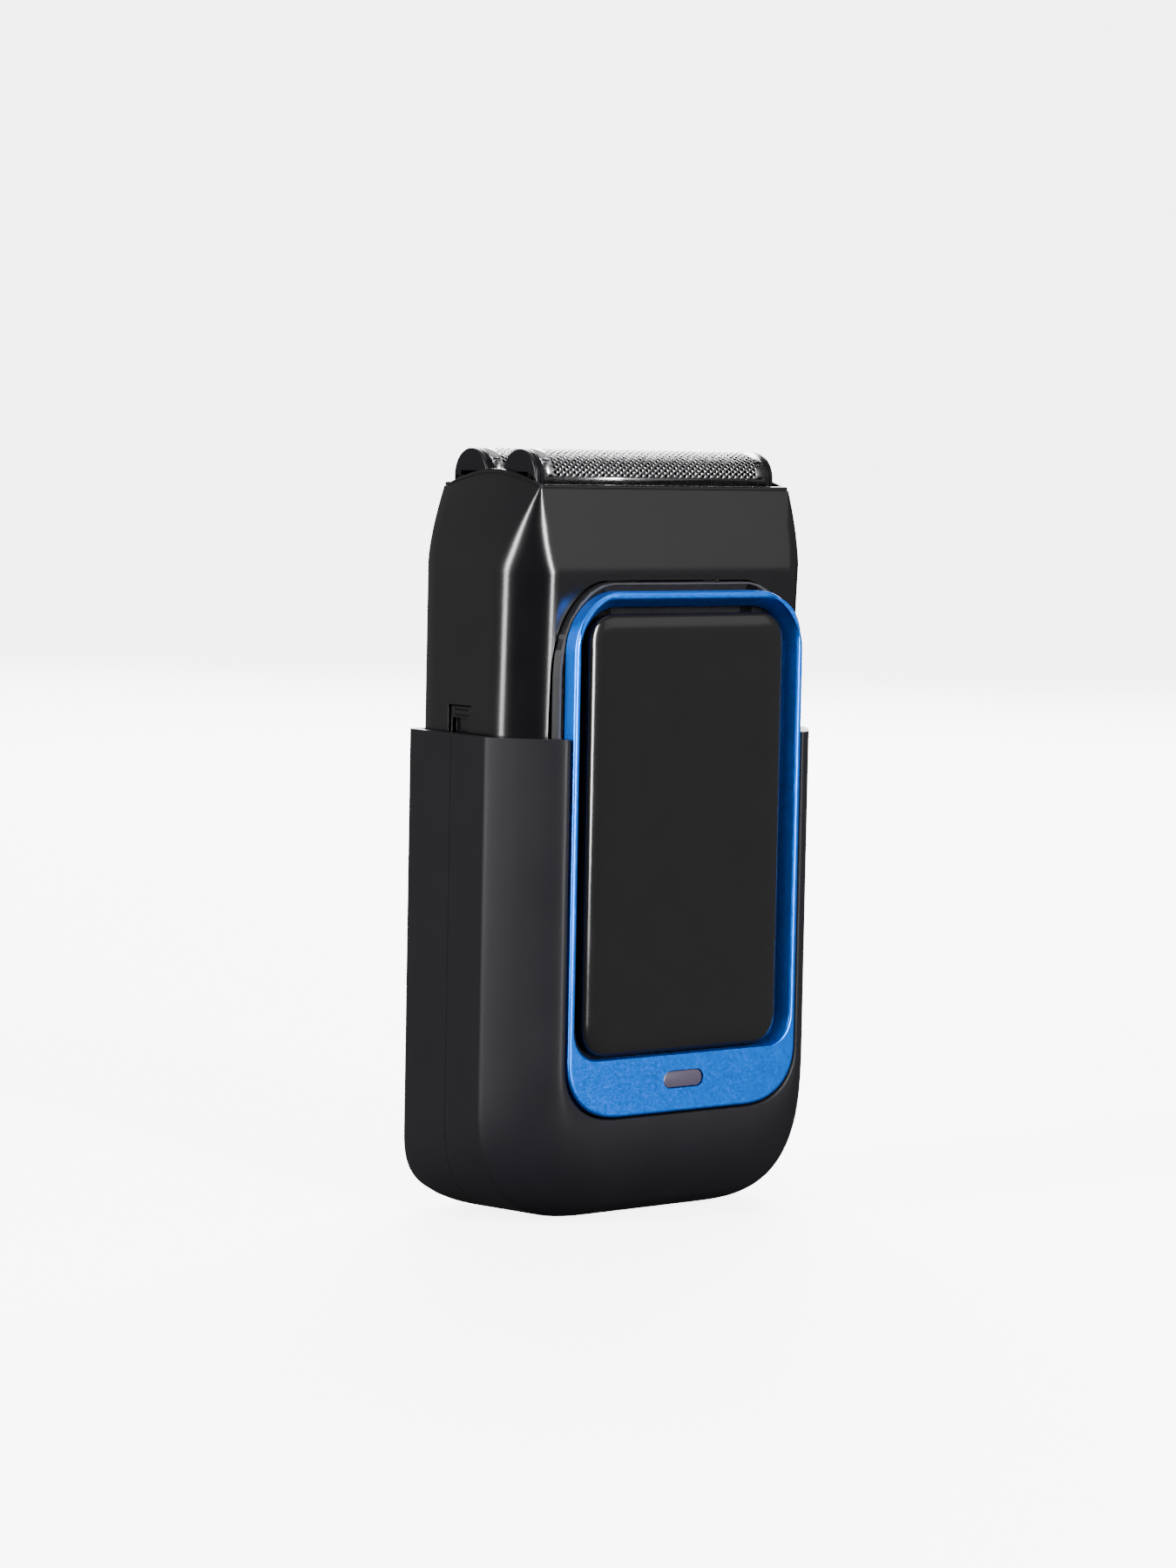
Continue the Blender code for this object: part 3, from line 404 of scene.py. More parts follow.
def corner_points(flat, bottom, corner, steps):
    """One corner from (flat, bottom) outward and up; corner is its width, height and roundness power."""
    width, height, power = corner
    points = []
    for step in range(steps + 1):
        angle = math.pi / 2 * step / steps
        across = math.sin(angle) ** (2 / power)
        up = 1 - max(0.0, math.cos(angle)) ** (2 / power)
        points.append((flat + width * across, bottom + height * up))
    return points


def closed_outline(half_width, bottom, top, base_corner, top_corner, steps=20):
    """A symmetrical outline with its own corners at the base and at the top."""
    right = corner_points(half_width - base_corner[0], bottom, base_corner, steps)
    upper = corner_points(half_width - top_corner[0], -top, top_corner, steps)
    right += [(x, -z) for x, z in reversed(upper)]
    return right + [(-x, z) for x, z in reversed(right)]


def u_outline(half_width, bottom, corner, top, side_steps=14, corner_steps=26, flat_steps=8):
    """An open outline from the top left, down, round the base and up to the top right."""
    flat = half_width - corner[0]
    right = corner_points(flat, bottom, corner, corner_steps)
    side_start = bottom + corner[1]
    for step in range(1, side_steps + 1):
        right.append((half_width, side_start + (top - side_start) * step / side_steps))
    middle = [(flat * (2 * step / flat_steps - 1), bottom) for step in range(1, flat_steps)]
    left = [(-x, z) for x, z in reversed(right)]
    return left + middle + right


def blend_rows(first, second, part):
    """The row that lies part of the way from the first to the second."""
    return [tuple(a + (b - a) * part for a, b in zip(p, q)) for p, q in zip(first, second)]


# ---------------------------------------------------------------- materials

NOISE_LOW = 0.3  # most of a noise's values lie between these two
NOISE_HIGH = 0.7
GRAIN_HEIGHT = 0.02


def new_material(name, colour, roughness, metallic=0.0, **sockets):
    """A Principled material; further sockets are named with _ for each space."""
    made = bpy.data.materials.new(name)
    made.use_nodes = True
    shader = made.node_tree.nodes["Principled BSDF"]
    shader.inputs["Base Color"].default_value = (*colour, 1.0)
    shader.inputs["Roughness"].default_value = roughness
    shader.inputs["Metallic"].default_value = metallic
    for socket, value in sockets.items():
        shader.inputs[socket.replace("_", " ")].default_value = value
    return made


def noise(material, scale, detail=2.0, stretch=(1, 1, 1), roughness=0.5):
    """A noise texture over the piece's own coordinates."""
    nodes, links = material.node_tree.nodes, material.node_tree.links
    place = nodes.new("ShaderNodeTexCoord")
    mapping = nodes.new("ShaderNodeMapping")
    mapping.inputs["Scale"].default_value = stretch
    texture = nodes.new("ShaderNodeTexNoise")
    texture.inputs["Scale"].default_value = scale
    texture.inputs["Detail"].default_value = detail
    texture.inputs["Roughness"].default_value = roughness
    links.new(place.outputs["Object"], mapping.inputs["Vector"])
    links.new(mapping.outputs["Vector"], texture.inputs["Vector"])
    return texture.outputs["Fac"]


def ranged(material, value, low, high, from_low=NOISE_LOW, from_high=NOISE_HIGH):
    """Stretch a noise's middle range to run from low to high."""
    node = material.node_tree.nodes.new("ShaderNodeMapRange")
    node.inputs["From Min"].default_value = from_low
    node.inputs["From Max"].default_value = from_high
    node.inputs["To Min"].default_value = low
    node.inputs["To Max"].default_value = high
    material.node_tree.links.new(value, node.inputs["Value"])
    return node.outputs["Result"]


def roughness_from(material, value, low, high):
    """Let the roughness vary slowly over the surface."""
    shader = material.node_tree.nodes["Principled BSDF"]
    material.node_tree.links.new(ranged(material, value, low, high), shader.inputs["Roughness"])


def colour_from(material, value, first, second):
    """Let the colour vary slightly over the surface."""
    nodes, links = material.node_tree.nodes, material.node_tree.links
    ramp = nodes.new("ShaderNodeValToRGB")
    ramp.color_ramp.elements[0].position = NOISE_LOW
    ramp.color_ramp.elements[1].position = NOISE_HIGH
    ramp.color_ramp.elements[0].color = (*first, 1.0)
    ramp.color_ramp.elements[1].color = (*second, 1.0)
    links.new(value, ramp.inputs["Fac"])
    links.new(ramp.outputs["Color"], nodes["Principled BSDF"].inputs["Base Color"])


def bump_from(material, value, strength, distance):
    """Raise a fine grain; distance is in millimetres."""
    nodes, links = material.node_tree.nodes, material.node_tree.links
    bump = nodes.new("ShaderNodeBump")
    bump.inputs["Strength"].default_value = strength
    bump.inputs["Distance"].default_value = distance / 1000
    links.new(value, bump.inputs["Height"])
    links.new(bump.outputs["Normal"], nodes["Principled BSDF"].inputs["Normal"])


def plastic(name, colour, roughness, grain, strength, spread=0.06, **sockets):
    """Moulded plastic: fine grain in the surface and slow changes in sheen."""
    made = new_material(name, colour, roughness, **sockets)
    roughness_from(made, noise(made, 90.0, 3.0), roughness - spread / 2, roughness + spread / 2)
    colour_from(made, noise(made, 140.0, 2.0), colour, tuple(channel * 1.12 for channel in colour))
    bump_from(made, noise(made, grain, 2.0), strength, GRAIN_HEIGHT)
    return made


def metal(name, colour, roughness, grain, strength, stretch=(1, 1, 1), **sockets):
    """Metal: the same grain drives its roughness and its surface."""
    made = new_material(name, colour, roughness, 1.0, **sockets)
    texture = noise(made, grain, 3.0, stretch)
    roughness_from(made, texture, roughness * 0.8, roughness * 1.25)
    colour_from(made, noise(made, 250.0, 2.0), colour, tuple(channel * 0.93 for channel in colour))
    bump_from(made, texture, strength, GRAIN_HEIGHT)
    return made


SOFT_SHINE = {"Specular_IOR_Level": 0.15}
CLEAR_SHINE = {"Specular_IOR_Level": 0.38}
MATTE_BLACK = plastic("matte_black", (0.0044, 0.0042, 0.0055), 0.46, 5200.0, 0.10, 0.05, **SOFT_SHINE)
GLOSS_BLACK = plastic("gloss_black", (0.0016, 0.0015, 0.0020), 0.24, 3000.0, 0.02, 0.04, **CLEAR_SHINE)
PIANO_BLACK = plastic("piano_black", (0.0034, 0.0030, 0.0034), 0.14, 900.0, 0.003, 0.03, **CLEAR_SHINE)
BEZEL_BLACK = plastic("bezel_black", (0.0050, 0.0048, 0.0060), 0.30, 3200.0, 0.05, **SOFT_SHINE)
BLUE_METAL = metal("blue_anodised", (0.006, 0.200, 1.000), 0.36, 4200.0, 0.06)
SMOKED_LENS = plastic("smoked_lens", (0.034, 0.027, 0.044), 0.28, 1800.0, 0.03)
FOIL_STEEL = metal("foil_steel", (0.27, 0.27, 0.28), 0.24, 900.0, 0.03, (1, 14, 14))
BLADE_STEEL = metal("blade_steel", (0.045, 0.045, 0.050), 0.40, 1200.0, 0.05, (14, 1, 1))
PLAIN_STEEL = metal("plain_steel", (0.52, 0.52, 0.54), 0.32, 1500.0, 0.05)
CAP_BLACK = plastic("cap_black", (0.0030, 0.0028, 0.0036), 0.26, 2500.0, 0.02, **SOFT_SHINE)
DARK_PLASTIC = plastic("dark_plastic", (0.018, 0.018, 0.020), 0.45, 2600.0, 0.10)
GREY_PLASTIC = plastic("grey_plastic", (0.200, 0.200, 0.210), 0.50, 2600.0, 0.10)
BOARD_GREEN = plastic("board_green", (0.012, 0.095, 0.038), 0.40, 800.0, 0.10)
RUBBER = plastic("seal_rubber", (0.012, 0.012, 0.013), 0.75, 2200.0, 0.20)
CELL_WRAP = plastic("cell_wrap", (0.030, 0.120, 0.360), 0.35, 500.0, 0.05)
BRASS = metal("brass", (0.70, 0.47, 0.17), 0.30, 1500.0, 0.05)

SLOT_LOOKS = {
    "matte_shell": MATTE_BLACK,
    "gloss_shell": GLOSS_BLACK,
    "black_gloss": PIANO_BLACK,
    "blue_metal": BLUE_METAL,
    "lens": SMOKED_LENS,
    "foil_steel": FOIL_STEEL,
    "steel": PLAIN_STEEL,
    "dark_plastic": DARK_PLASTIC,
    "grey_plastic": GREY_PLASTIC,
    "board_green": BOARD_GREEN,
    "rubber": RUBBER,
    "cell_wrap": CELL_WRAP,
    "brass": BRASS,
}


def dress_cad_nodes():
    """Give every carried-over CAD node the finish of its slot."""
    slots = {part["node"]: part["material_slot"] for part in frame["record"]["subparts"]}
    for name, node in frame["nodes"].items():
        node.data.materials.clear()
        node.data.materials.append(SLOT_LOOKS[slots[name]])


# ---------------------------------------------------------------- handle


def between(low, high, part, power=1.0):
    """A value that leads from low to high, bent by the power."""
    return low + (high - low) * part**power


def pillow_part(y):
    """0 at the crease and 1 on the front face."""
    return (CREASE_Y - y) / (CREASE_Y - HANDLE_FRONT)


def side_inset(y):
    """How far the side stands in from the widest outline at depth y."""
    if y < CREASE_Y:
        return PILLOW_SIDE * pillow_part(y) ** PILLOW_SIDE_POWER
    round_start = HANDLE_REAR - REAR_ROUND
    taper = SIDE_TAPER * min(1.0, (y - CREASE_Y) / (round_start - CREASE_Y))
    return taper + REAR_ROUND * quarter(max(0.0, y - round_start) / REAR_ROUND)


def base_inset(y):
    """How far the foot stands above the floor at depth y."""
    if y < CREASE_Y:
        return PILLOW_BASE * pillow_part(y) ** PILLOW_BASE_POWER
    return FOOT_REAR_RISE * quarter(max(0.0, y - FOOT_REAR_Y) / (HANDLE_REAR - FOOT_REAR_Y))


def base_corner(y, half_width):
    """The base corner's width, height and power, from the front's values to the rear's."""
    part = max(0.0, (y - CREASE_Y) / (HANDLE_REAR - CREASE_Y))
    foot, height, power = (between(front, rear, part) for front, rear in zip(FRONT_BASE, REAR_BASE))
    return half_width - foot, height, power


def handle_row(y, wall=0.0):
    """One open outline of the handle at depth y, with the depth drawn in by the wall too."""
    half_depth = (HANDLE_REAR - HANDLE_FRONT) / 2
    middle = (HANDLE_REAR + HANDLE_FRONT) / 2
    half_width = HANDLE_HALF_WIDTH - side_inset(y) - wall
    outline = u_outline(half_width, base_inset(y) + wall, base_corner(y, half_width), HANDLE_TOP)
    return at_depth(outline, middle + (y - middle) * (half_depth - wall) / half_depth)


def window_row(grow, y):
    """The open outline of the window that the blue frame stands in."""
    return at_depth(u_outline(FRAME_HIGH[0] + grow, FRAME_LOW[2] - grow, FRAME_BASE_CORNER, HANDLE_TOP), y)


def bend_rows(first, corner, last, steps):
    """Rows that leave the first towards the corner and come smoothly into the last."""
    rows = []
    for step in range(1, steps + 1):
        part = step / steps
        rows.append(blend_rows(blend_rows(first, corner, part), blend_rows(corner, last, part), part))
    return rows


def make_front_casing():
    """The front half shell, its pillow running smoothly into the window round the blue frame."""
    seam = SEAM_Y - SEAM_GAP / 2
    side_ys = [seam, *FRONT_SIDE_YS, CREASE_Y + CREASE_HOLD]
    pillow_steps = 8
    bend_start = CREASE_Y + BEND_START * (HANDLE_FRONT - CREASE_Y)
    pillow_ys = [between(CREASE_Y, bend_start, step / pillow_steps) for step in range(pillow_steps + 1)]
    depths = side_ys + pillow_ys
    edge = WINDOW_GAP + WINDOW_LIP
    outer = [handle_row(y) for y in depths]
    inner = [handle_row(y, WALL) for y in depths]
    bend_end = blend_rows(handle_row(HANDLE_FRONT), window_row(edge, HANDLE_FRONT), BEND_END)
    inner_end = window_row(edge, HANDLE_FRONT + WALL)
    bend_steps = 16
    outer += bend_rows(outer[-1], handle_row(HANDLE_FRONT), bend_end, bend_steps)
    inner += bend_rows(inner[-1], handle_row(HANDLE_FRONT, WALL), inner_end, bend_steps)
    for begun, left in quarter_round(4):
        grow = WINDOW_GAP + WINDOW_LIP * left
        outer.append(window_row(grow, HANDLE_FRONT + WINDOW_LIP * begun))
        inner.append(window_row(grow, HANDLE_FRONT + WALL))
    points, faces = thick_sheet(outer, inner)
    casing = piece_from("handle_front_casing", points, faces, MATTE_BLACK, "handle", ("handle_front_shell",))
    add_bevel(casing, RIM_EDGE, 3, RIM_EDGE_ANGLE)
    return casing


def make_rear_casing():
    """The rear half shell, with the charging port in its foot."""
    seam = SEAM_Y + SEAM_GAP / 2
    depths = [seam, *REAR_SIDE_YS]
    round_start = HANDLE_REAR - REAR_ROUND
    round_steps = 8
    for step in range(round_steps + 1):
        depths.append(round_start + REAR_ROUND * math.sin(math.pi / 2 * step / round_steps))
    outer = [handle_row(y) for y in depths]
    inner = [handle_row(y, WALL) for y in depths]
    for part in BACK_ROWS:
        outer.append([(x * part, y, z) for x, y, z in handle_row(HANDLE_REAR)])
        inner.append([(x * part, y, z) for x, y, z in handle_row(HANDLE_REAR, WALL)])
    points, faces = thick_sheet(outer, inner, join_last=False)
    casing = piece_from("handle_rear_casing", points, faces, MATTE_BLACK, "handle", ("handle_rear_shell",))
    port_low, port_high = node_mm("usb_socket")
    middle_y = (port_low[1] + port_high[1]) / 2
    cut(casing, *port_prism(middle_y))
    add_bevel(casing, RIM_EDGE, 3, RIM_EDGE_ANGLE)
    return casing


def port_prism(middle_y):
    """A round-ended slot in plan, for the charging port."""
    outline = []
    turn_steps = 12
    for end in (1, -1):
        for step in range(turn_steps + 1):
            angle = math.pi / 2 - math.pi * step / turn_steps
            x = end * (PORT_HALF_WIDTH - PORT_HALF_DEPTH + PORT_HALF_DEPTH * math.cos(angle))
            outline.append((x, middle_y + end * PORT_HALF_DEPTH * math.sin(angle)))
    return tower(outline, PORT_CUT_ZS)


def make_collar():
    """The ledge inside the handle's mouth that guides the head's skirt."""
    depth = HANDLE_REAR - HANDLE_FRONT
    middle = (HANDLE_REAR + HANDLE_FRONT) / 2
    inset = WALL + COLLAR_INSET
    steps = 40
    right = []
    for step in range(steps + 1):
        y = HANDLE_FRONT + depth * (1 - math.cos(math.pi * step / steps)) / 2
        x = HANDLE_HALF_WIDTH - side_inset(y) - inset
        right.append((x, middle + (y - middle) * (depth - 2 * inset) / depth))
    plan = right + [(-x, y) for x, y in reversed(right)]
    top = HANDLE_TOP - COLLAR_DROP
    points, faces = tower(plan, (top - COLLAR_HEIGHT, top))
    collar = piece_from("handle_collar", points, faces, MATTE_BLACK, "handle")
    cut_zs = [top + z for z in COLLAR_CUT_ZS]
    skirt = [point[:2] for point in head_ring(HEAD_LOWER, 0.0, 1.0, COLLAR_GAP)]
    cut(collar, *tower(skirt, cut_zs))
    cut(collar, *block(*((*corner, z) for corner, z in zip(COLLAR_OPENING, cut_zs))))
    collar.data.materials.clear()
    collar.data.materials.append(MATTE_BLACK)
    return collar


# ---------------------------------------------------------------- foil head


def rounded_polygon(corners, arc_steps=4):
    """Corners given as (x, y, radius) become points with each corner turned by a small arc."""
    points = []
    count = len(corners)
    for index, (x, y, radius) in enumerate(corners):
        here = Vector((x, y))
        before = Vector(corners[index - 1][:2]) - here
        after = Vector(corners[(index + 1) % count][:2]) - here
        reach = min(radius, before.length * LARGEST_REACH, after.length * LARGEST_REACH)
        start = here + before.normalized() * reach
        end = here + after.normalized() * reach
        for step in range(arc_steps + 1):
            part = step / arc_steps
            bend = start * (1 - part) ** 2 + here * 2 * part * (1 - part) + end * part**2
            points.append((bend.x, bend.y))
    return points


def subdivided(points, longest):
    """Extra points along the straight side edges, so that they can rise in an arch."""
    result = []
    for index, point in enumerate(points):
        result.append(point)
        following = points[(index + 1) % len(points)]
        if abs(following[1] - point[1]) > longest:
            for step in range(1, SIDE_STEPS):
                part = step / SIDE_STEPS
                result.append(tuple(a + (b - a) * part for a, b in zip(point, following)))
    return result


def head_ring(section, rise, chamfer, grow=0.0):
    """The head's plan at one height: chamfered in front, bowed at the rear, its sides rising by rise."""
    half_width = section["half_width"] + grow
    front = section["front"] - grow
    rear = section["rear"] + grow
    chamfer_x = max(LEAST_CHAMFER, HEAD_CHAMFER_X * chamfer)
    chamfer_y = max(LEAST_CHAMFER, HEAD_CHAMFER_Y * chamfer)
    right = [
        (half_width - chamfer_x, front, FRONT_EDGE_REACH),
        (half_width, front + chamfer_y, SIDE_EDGE_REACH),
        (half_width, rear - REAR_CHAMFER_Y, REAR_EDGE_REACH),
        (half_width - REAR_CHAMFER_X, rear, REAR_EDGE_REACH),
        (half_width - BULGE_EDGE, rear + section["bulge"], BULGE_REACH),
    ]
    corners = right + [(-x, y, r) for x, y, r in reversed(right)]
    points = subdivided(rounded_polygon(corners), LONG_SIDE)
    side_front = front + chamfer_y
    side_rear = rear - REAR_CHAMFER_Y
    ring = []
    for x, y in points:
        part = min(1.0, max(0.0, (y - side_front) / (side_rear - side_front)))
        ring.append((x, y, section["z"] + rise * math.sin(math.pi * part)))
    return ring


def head_section(z, inset=0.0):
    """The head's ring at height z, standing in by inset."""
    if z <= SHOULDER["z"]:
        part = max(0.0, (z - HEAD_LOWER["z"]) / (SHOULDER["z"] - HEAD_LOWER["z"]))
        section = {key: HEAD_LOWER[key] + (SHOULDER[key] - HEAD_LOWER[key]) * part for key in SHOULDER}
        rise, chamfer = 0.0, 1.0
    else:
        part = (z - SHOULDER["z"]) / (RIM["z"] - SHOULDER["z"])
        section = {key: SHOULDER[key] + (RIM[key] - SHOULDER[key]) * part for key in SHOULDER}
        width_gain = RIM["half_width"] - SHOULDER["half_width"]
        section["half_width"] = SHOULDER["half_width"] + width_gain * part**TAPER_POWER
        rise, chamfer = RIM_ARCH * part * part, 1.0 - part
    section["z"] = z
    return head_ring(section, rise, chamfer, -inset)


def make_head_casing():
    """The gloss head shell, with cut-outs for the bezel's arch and for the side catches."""
    shoulder, rim = SHOULDER["z"], RIM["z"]
    levels = [SKIRT_BOTTOM, HEAD_LOWER["z"], shoulder - SHOULDER_HOLD, shoulder]
    rim_steps = 14
    for step in range(1, rim_steps + 1):
        levels.append(shoulder + (rim - GROOVE_START - shoulder) * step / rim_steps)
    insets = [0.0] * len(levels)
    for below_rim, inset in RIM_PROFILE:
        levels.append(rim - below_rim)
        insets.append(inset)
    outer = [head_section(z, inset) for z, inset in zip(levels, insets)]
    inner = [head_section(z, HEAD_WALL - RIM_THINNING * (z > rim - 1)) for z in levels]
    points, faces = thick_sheet(outer, inner, closed=True)
    casing = piece_from("head_casing", points, faces, GLOSS_BLACK, "head", ("head_shell",), HEAD_SHARP)
    arch_bottom = SKIRT_BOTTOM - ARCH_CUT_BELOW
    arch = closed_outline(ARCH_HALF_WIDTH, arch_bottom, ARCH_TOP, ARCH_BASE_CORNER, ARCH_CORNER)
    cut(casing, *prism(arch, CUT_FRONT, BEZEL_HIGH[1] - ARCH_CUT_DEPTH))
    for side, sign in LEFT_RIGHT.items():
        low, high = node_mm(f"latch_{side}")
        xs = sorted(sign * x for x in CATCH_SLOT_X)
        clear = CATCH_CLEARANCE
        corner_low = (xs[0], low[1] - clear, SKIRT_BOTTOM - CATCH_CUT_BELOW)
        cut(casing, *block(corner_low, (xs[1], high[1] + clear, high[2] + clear)))
    casing.data.set_sharp_from_angle(angle=math.radians(HEAD_SHARP))
    add_bevel(casing, HEAD_EDGE, 2, RIM_EDGE_ANGLE)
    return casing


# ---------------------------------------------------------------- control face


def make_bezel():
    """The plate behind the frame, whose arch shows in the head's cut-out."""
    half_width = ARCH_HALF_WIDTH - ARCH_GAP
    top = ARCH_TOP - ARCH_GAP
    front = BEZEL_LOW[1]
    bend = BEZEL_EDGE * BEZEL_BEND
    loops = []
    for inset, y in ((0.0, BEZEL_REAR), (0.0, front + BEZEL_EDGE), (bend, front + bend), (BEZEL_EDGE, front)):
        bottom = BEZEL_LOW[2] + inset
        outline = closed_outline(half_width - inset, bottom, top - inset, FRAME_BASE_CORNER, ARCH_CORNER)
        loops.append(at_depth(outline, y))
    points, faces = loft(loops)
    bezel = piece_from("bezel_plate", points, faces, BEZEL_BLACK, "handle")
    low, high = node_mm("switch_plunger")
    corner_low = (low[0] - PLUNGER_GAP, low[1] - PLUNGER_CUT, low[2] - PLUNGER_GAP)
    corner_high = (high[0] + PLUNGER_GAP, high[1] + PLUNGER_CUT, high[2] + PLUNGER_GAP)
    cut(bezel, *block(corner_low, corner_high))
    return bezel


def key_opening(grow):
    """The ring's opening round the key, wider by grow at the sides and the top; its base stays put."""
    width, height, power = KEY_CORNER
    top_corner = (width + OPENING_ROUNDER, height + OPENING_ROUNDER, power)
    bottom = KEY_LOW[2] - OPENING_BASE_GAP
    return closed_outline(KEY_HIGH[0] + grow, bottom, KEY_HIGH[2] + grow, KEY_CORNER, top_corner)


def pill_outline(grow):
    """The indicator's round-ended outline."""
    height = PILL_HALF_HEIGHT + grow
    corner = (height, height, 2.0)
    return closed_outline(PILL_HALF_WIDTH + grow, PILL_Z - height, PILL_Z + height, corner, corner, 10)


def frame_outline(inset):
    """The blue ring's outer outline."""
    bottom, top = FRAME_LOW[2] + inset, FRAME_HIGH[2] - inset
    return closed_outline(FRAME_HIGH[0] - inset, bottom, top, FRAME_BASE_CORNER, FRAME_TOP_CORNER)


def make_blue_frame():
    """The anodised ring: a straight outer wall, a flat lip with round edges and a slope towards the key."""
    front, rear = FRAME_LOW[1], FRAME_HIGH[1]
    lip_opening = FRAME_HIGH[0] - FRAME_LIP - KEY_HIGH[0]
    loops = [at_depth(frame_outline(0.0), rear)]
    edge = quarter_round(7)
    for begun, left in edge:
        loops.append(at_depth(frame_outline(FRAME_EDGE * begun), front + FRAME_EDGE * left))
    loops.append(at_depth(frame_outline(FRAME_EDGE + HOLDING), front))
    loops.append(at_depth(key_opening(lip_opening + INNER_EDGE + HOLDING), front))
    for begun, left in edge:
        loops.append(at_depth(key_opening(lip_opening + INNER_EDGE * left), front + INNER_EDGE * begun))
    for y in (front + FRAME_DEPTH, rear):
        loops.append(at_depth(key_opening(lip_opening - FRAME_SLOPE), y))
    points, faces = closed_band(loops)
    piece = piece_from("blue_frame_ring", points, faces, BLUE_METAL, "handle", ("blue_frame",))
    cut(piece, *prism(pill_outline(PILL_GAP), front - 1.0, rear + 1.0))
    piece.data.set_sharp_from_angle(angle=math.radians(50))
    return piece


def make_indicator():
    """The smoked window low on the ring."""
    front = node_mm("indicator_lens")[0][1]
    points, faces = loft([at_depth(pill_outline(-inset), front + depth) for inset, depth in PILL_PROFILE])
    return piece_from("indicator_window", points, faces, SMOKED_LENS, "handle", ("indicator_lens",))


def make_key():
    """The key cap: a broad rounded border round a flat middle."""
    front, rear = KEY_LOW[1], KEY_HIGH[1]
    loops = [at_depth(key_loop(0.0), rear)]
    for begun, left in quarter_round(16):
        loops.append(at_depth(key_loop(KEY_BORDER * begun), front + KEY_DROP * left))
    points, faces = loft(loops)
    return piece_from("power_key_cap", points, faces, PIANO_BLACK, "power_key", ("power_key",), 60.0)


def key_loop(inset):
    """The key's outline, its corners tightening as it stands further in."""
    width = max(KEY_LEAST_CORNER, KEY_CORNER[0] - KEY_TIGHTENING * inset)
    corner = (width, width, KEY_CORNER[2])
    return closed_outline(KEY_HIGH[0] - inset, KEY_LOW[2] + inset, KEY_HIGH[2] - inset, corner, corner)


# ---------------------------------------------------------------- foils


def foil_cell(x, v, pitch, rise):
    """The faces round one hole: a diamond cell, its edges split in the middle, with an oval cut out."""
    outside, inside = [], []
    for step in range(8):
        angle = math.pi / 4 * step
        reach = 1.0 if step % 2 == 0 else math.sqrt(0.5)
        outside.append((x + pitch / 2 * reach * math.cos(angle), v + rise * reach * math.sin(angle)))
        inside.append((x + HOLE_HALF_WIDTH * math.cos(angle), v + HOLE_HALF_HEIGHT * math.sin(angle)))
    faces = []
    for step in range(8):
        after = (step + 1) % 8
        faces.append([outside[step], outside[after], inside[after], inside[step]])
    return faces


def filled_gap(low, tip, high):
    """The triangle between neighbouring cells, its two slanted edges split in the middle."""
    return [low, middle_of(low, tip), tip, middle_of(tip, high), high]


def middle_of(first, second):
    """The point half way between two others."""
    return tuple((a + b) / 2 for a, b in zip(first, second))


def foil_sheet():
    """The unrolled foil as polygons of (x, arc length): staggered holes between plain margins."""
    holes_half = FOIL_HALF_LENGTH - FOIL_MARGIN
    columns = round((2 * holes_half - HOLE_PITCH) / HOLE_PITCH)
    pitch = 2 * holes_half / (columns + 1)
    first_x = pitch / 2 - holes_half
    arc = math.pi * FOIL_RADIUS
    rows = 2 * round(arc / HOLE_ROW / 2)
    rise = arc / rows
    polygons = []
    for row in range(1, rows):
        shift = pitch / 2 if row % 2 else 0.0
        for column in range(columns + 1 - row % 2):
            polygons += foil_cell(first_x + shift + column * pitch, row * rise, pitch, rise)
    for row in range(1, rows, 2):
        for side in (-1, 1):
            low, high = (side * holes_half, (row - 1) * rise), (side * holes_half, (row + 1) * rise)
            polygons.append(filled_gap(low, (side * -first_x, row * rise), high))
    for column in range(columns + 1):
        x = first_x + column * pitch
        for edge, tip in ((0.0, rise), (arc, arc - rise)):
            polygons.append(filled_gap((x - pitch / 2, edge), (x, tip), (x + pitch / 2, edge)))
    return polygons + foil_margins(holes_half, rows, rise)


def foil_margins(holes_half, rows, rise):
    """The plain ends, each with a slot on both slopes, and the straight skirts along the edges."""
    arc = rows * rise
    polygons = []
    for side in (-1, 1):
        for row in range(rows // 2):
            low, high = 2 * row * rise, 2 * (row + 1) * rise
            middle = (low + high) / 2
            slotted = any(abs(middle - v) < rise for v in (SLOT_ARC, arc - SLOT_ARC))
            inner = side * (FOIL_HALF_LENGTH - SLOT_END) if slotted else side * holes_half
            outer = side * FOIL_HALF_LENGTH
            if slotted:
                gap = (middle - SLOT_HALF_HEIGHT, middle + SLOT_HALF_HEIGHT)
                for v_low, v_high in ((low, gap[0]), (gap[1], high)):
                    near = side * holes_half
                    polygons.append([(near, v_low), (inner, v_low), (inner, v_high), (near, v_high)])
            polygons.append([(inner, low), (outer, low), (outer, high), (inner, high)])
    skirt = FOIL_AXIS_Z - FOIL_SKIRT_Z
    for low, high in ((-skirt, 0.0), (arc, arc + skirt)):
        ends = (-FOIL_HALF_LENGTH, FOIL_HALF_LENGTH)
        polygons.append([(ends[0], low), (ends[1], low), (ends[1], high), (ends[0], high)])
    return polygons


def dome_point(arc, radius):
    """A point at this arc length round the foil, in YZ about its line, with straight skirts."""
    top_length = math.pi * radius
    if arc < 0:
        return -radius, FOIL_AXIS_Z + arc
    if arc > top_length:
        return radius, FOIL_AXIS_Z - (arc - top_length)
    angle = arc / radius
    return -radius * math.cos(angle), FOIL_AXIS_Z + radius * math.sin(angle)


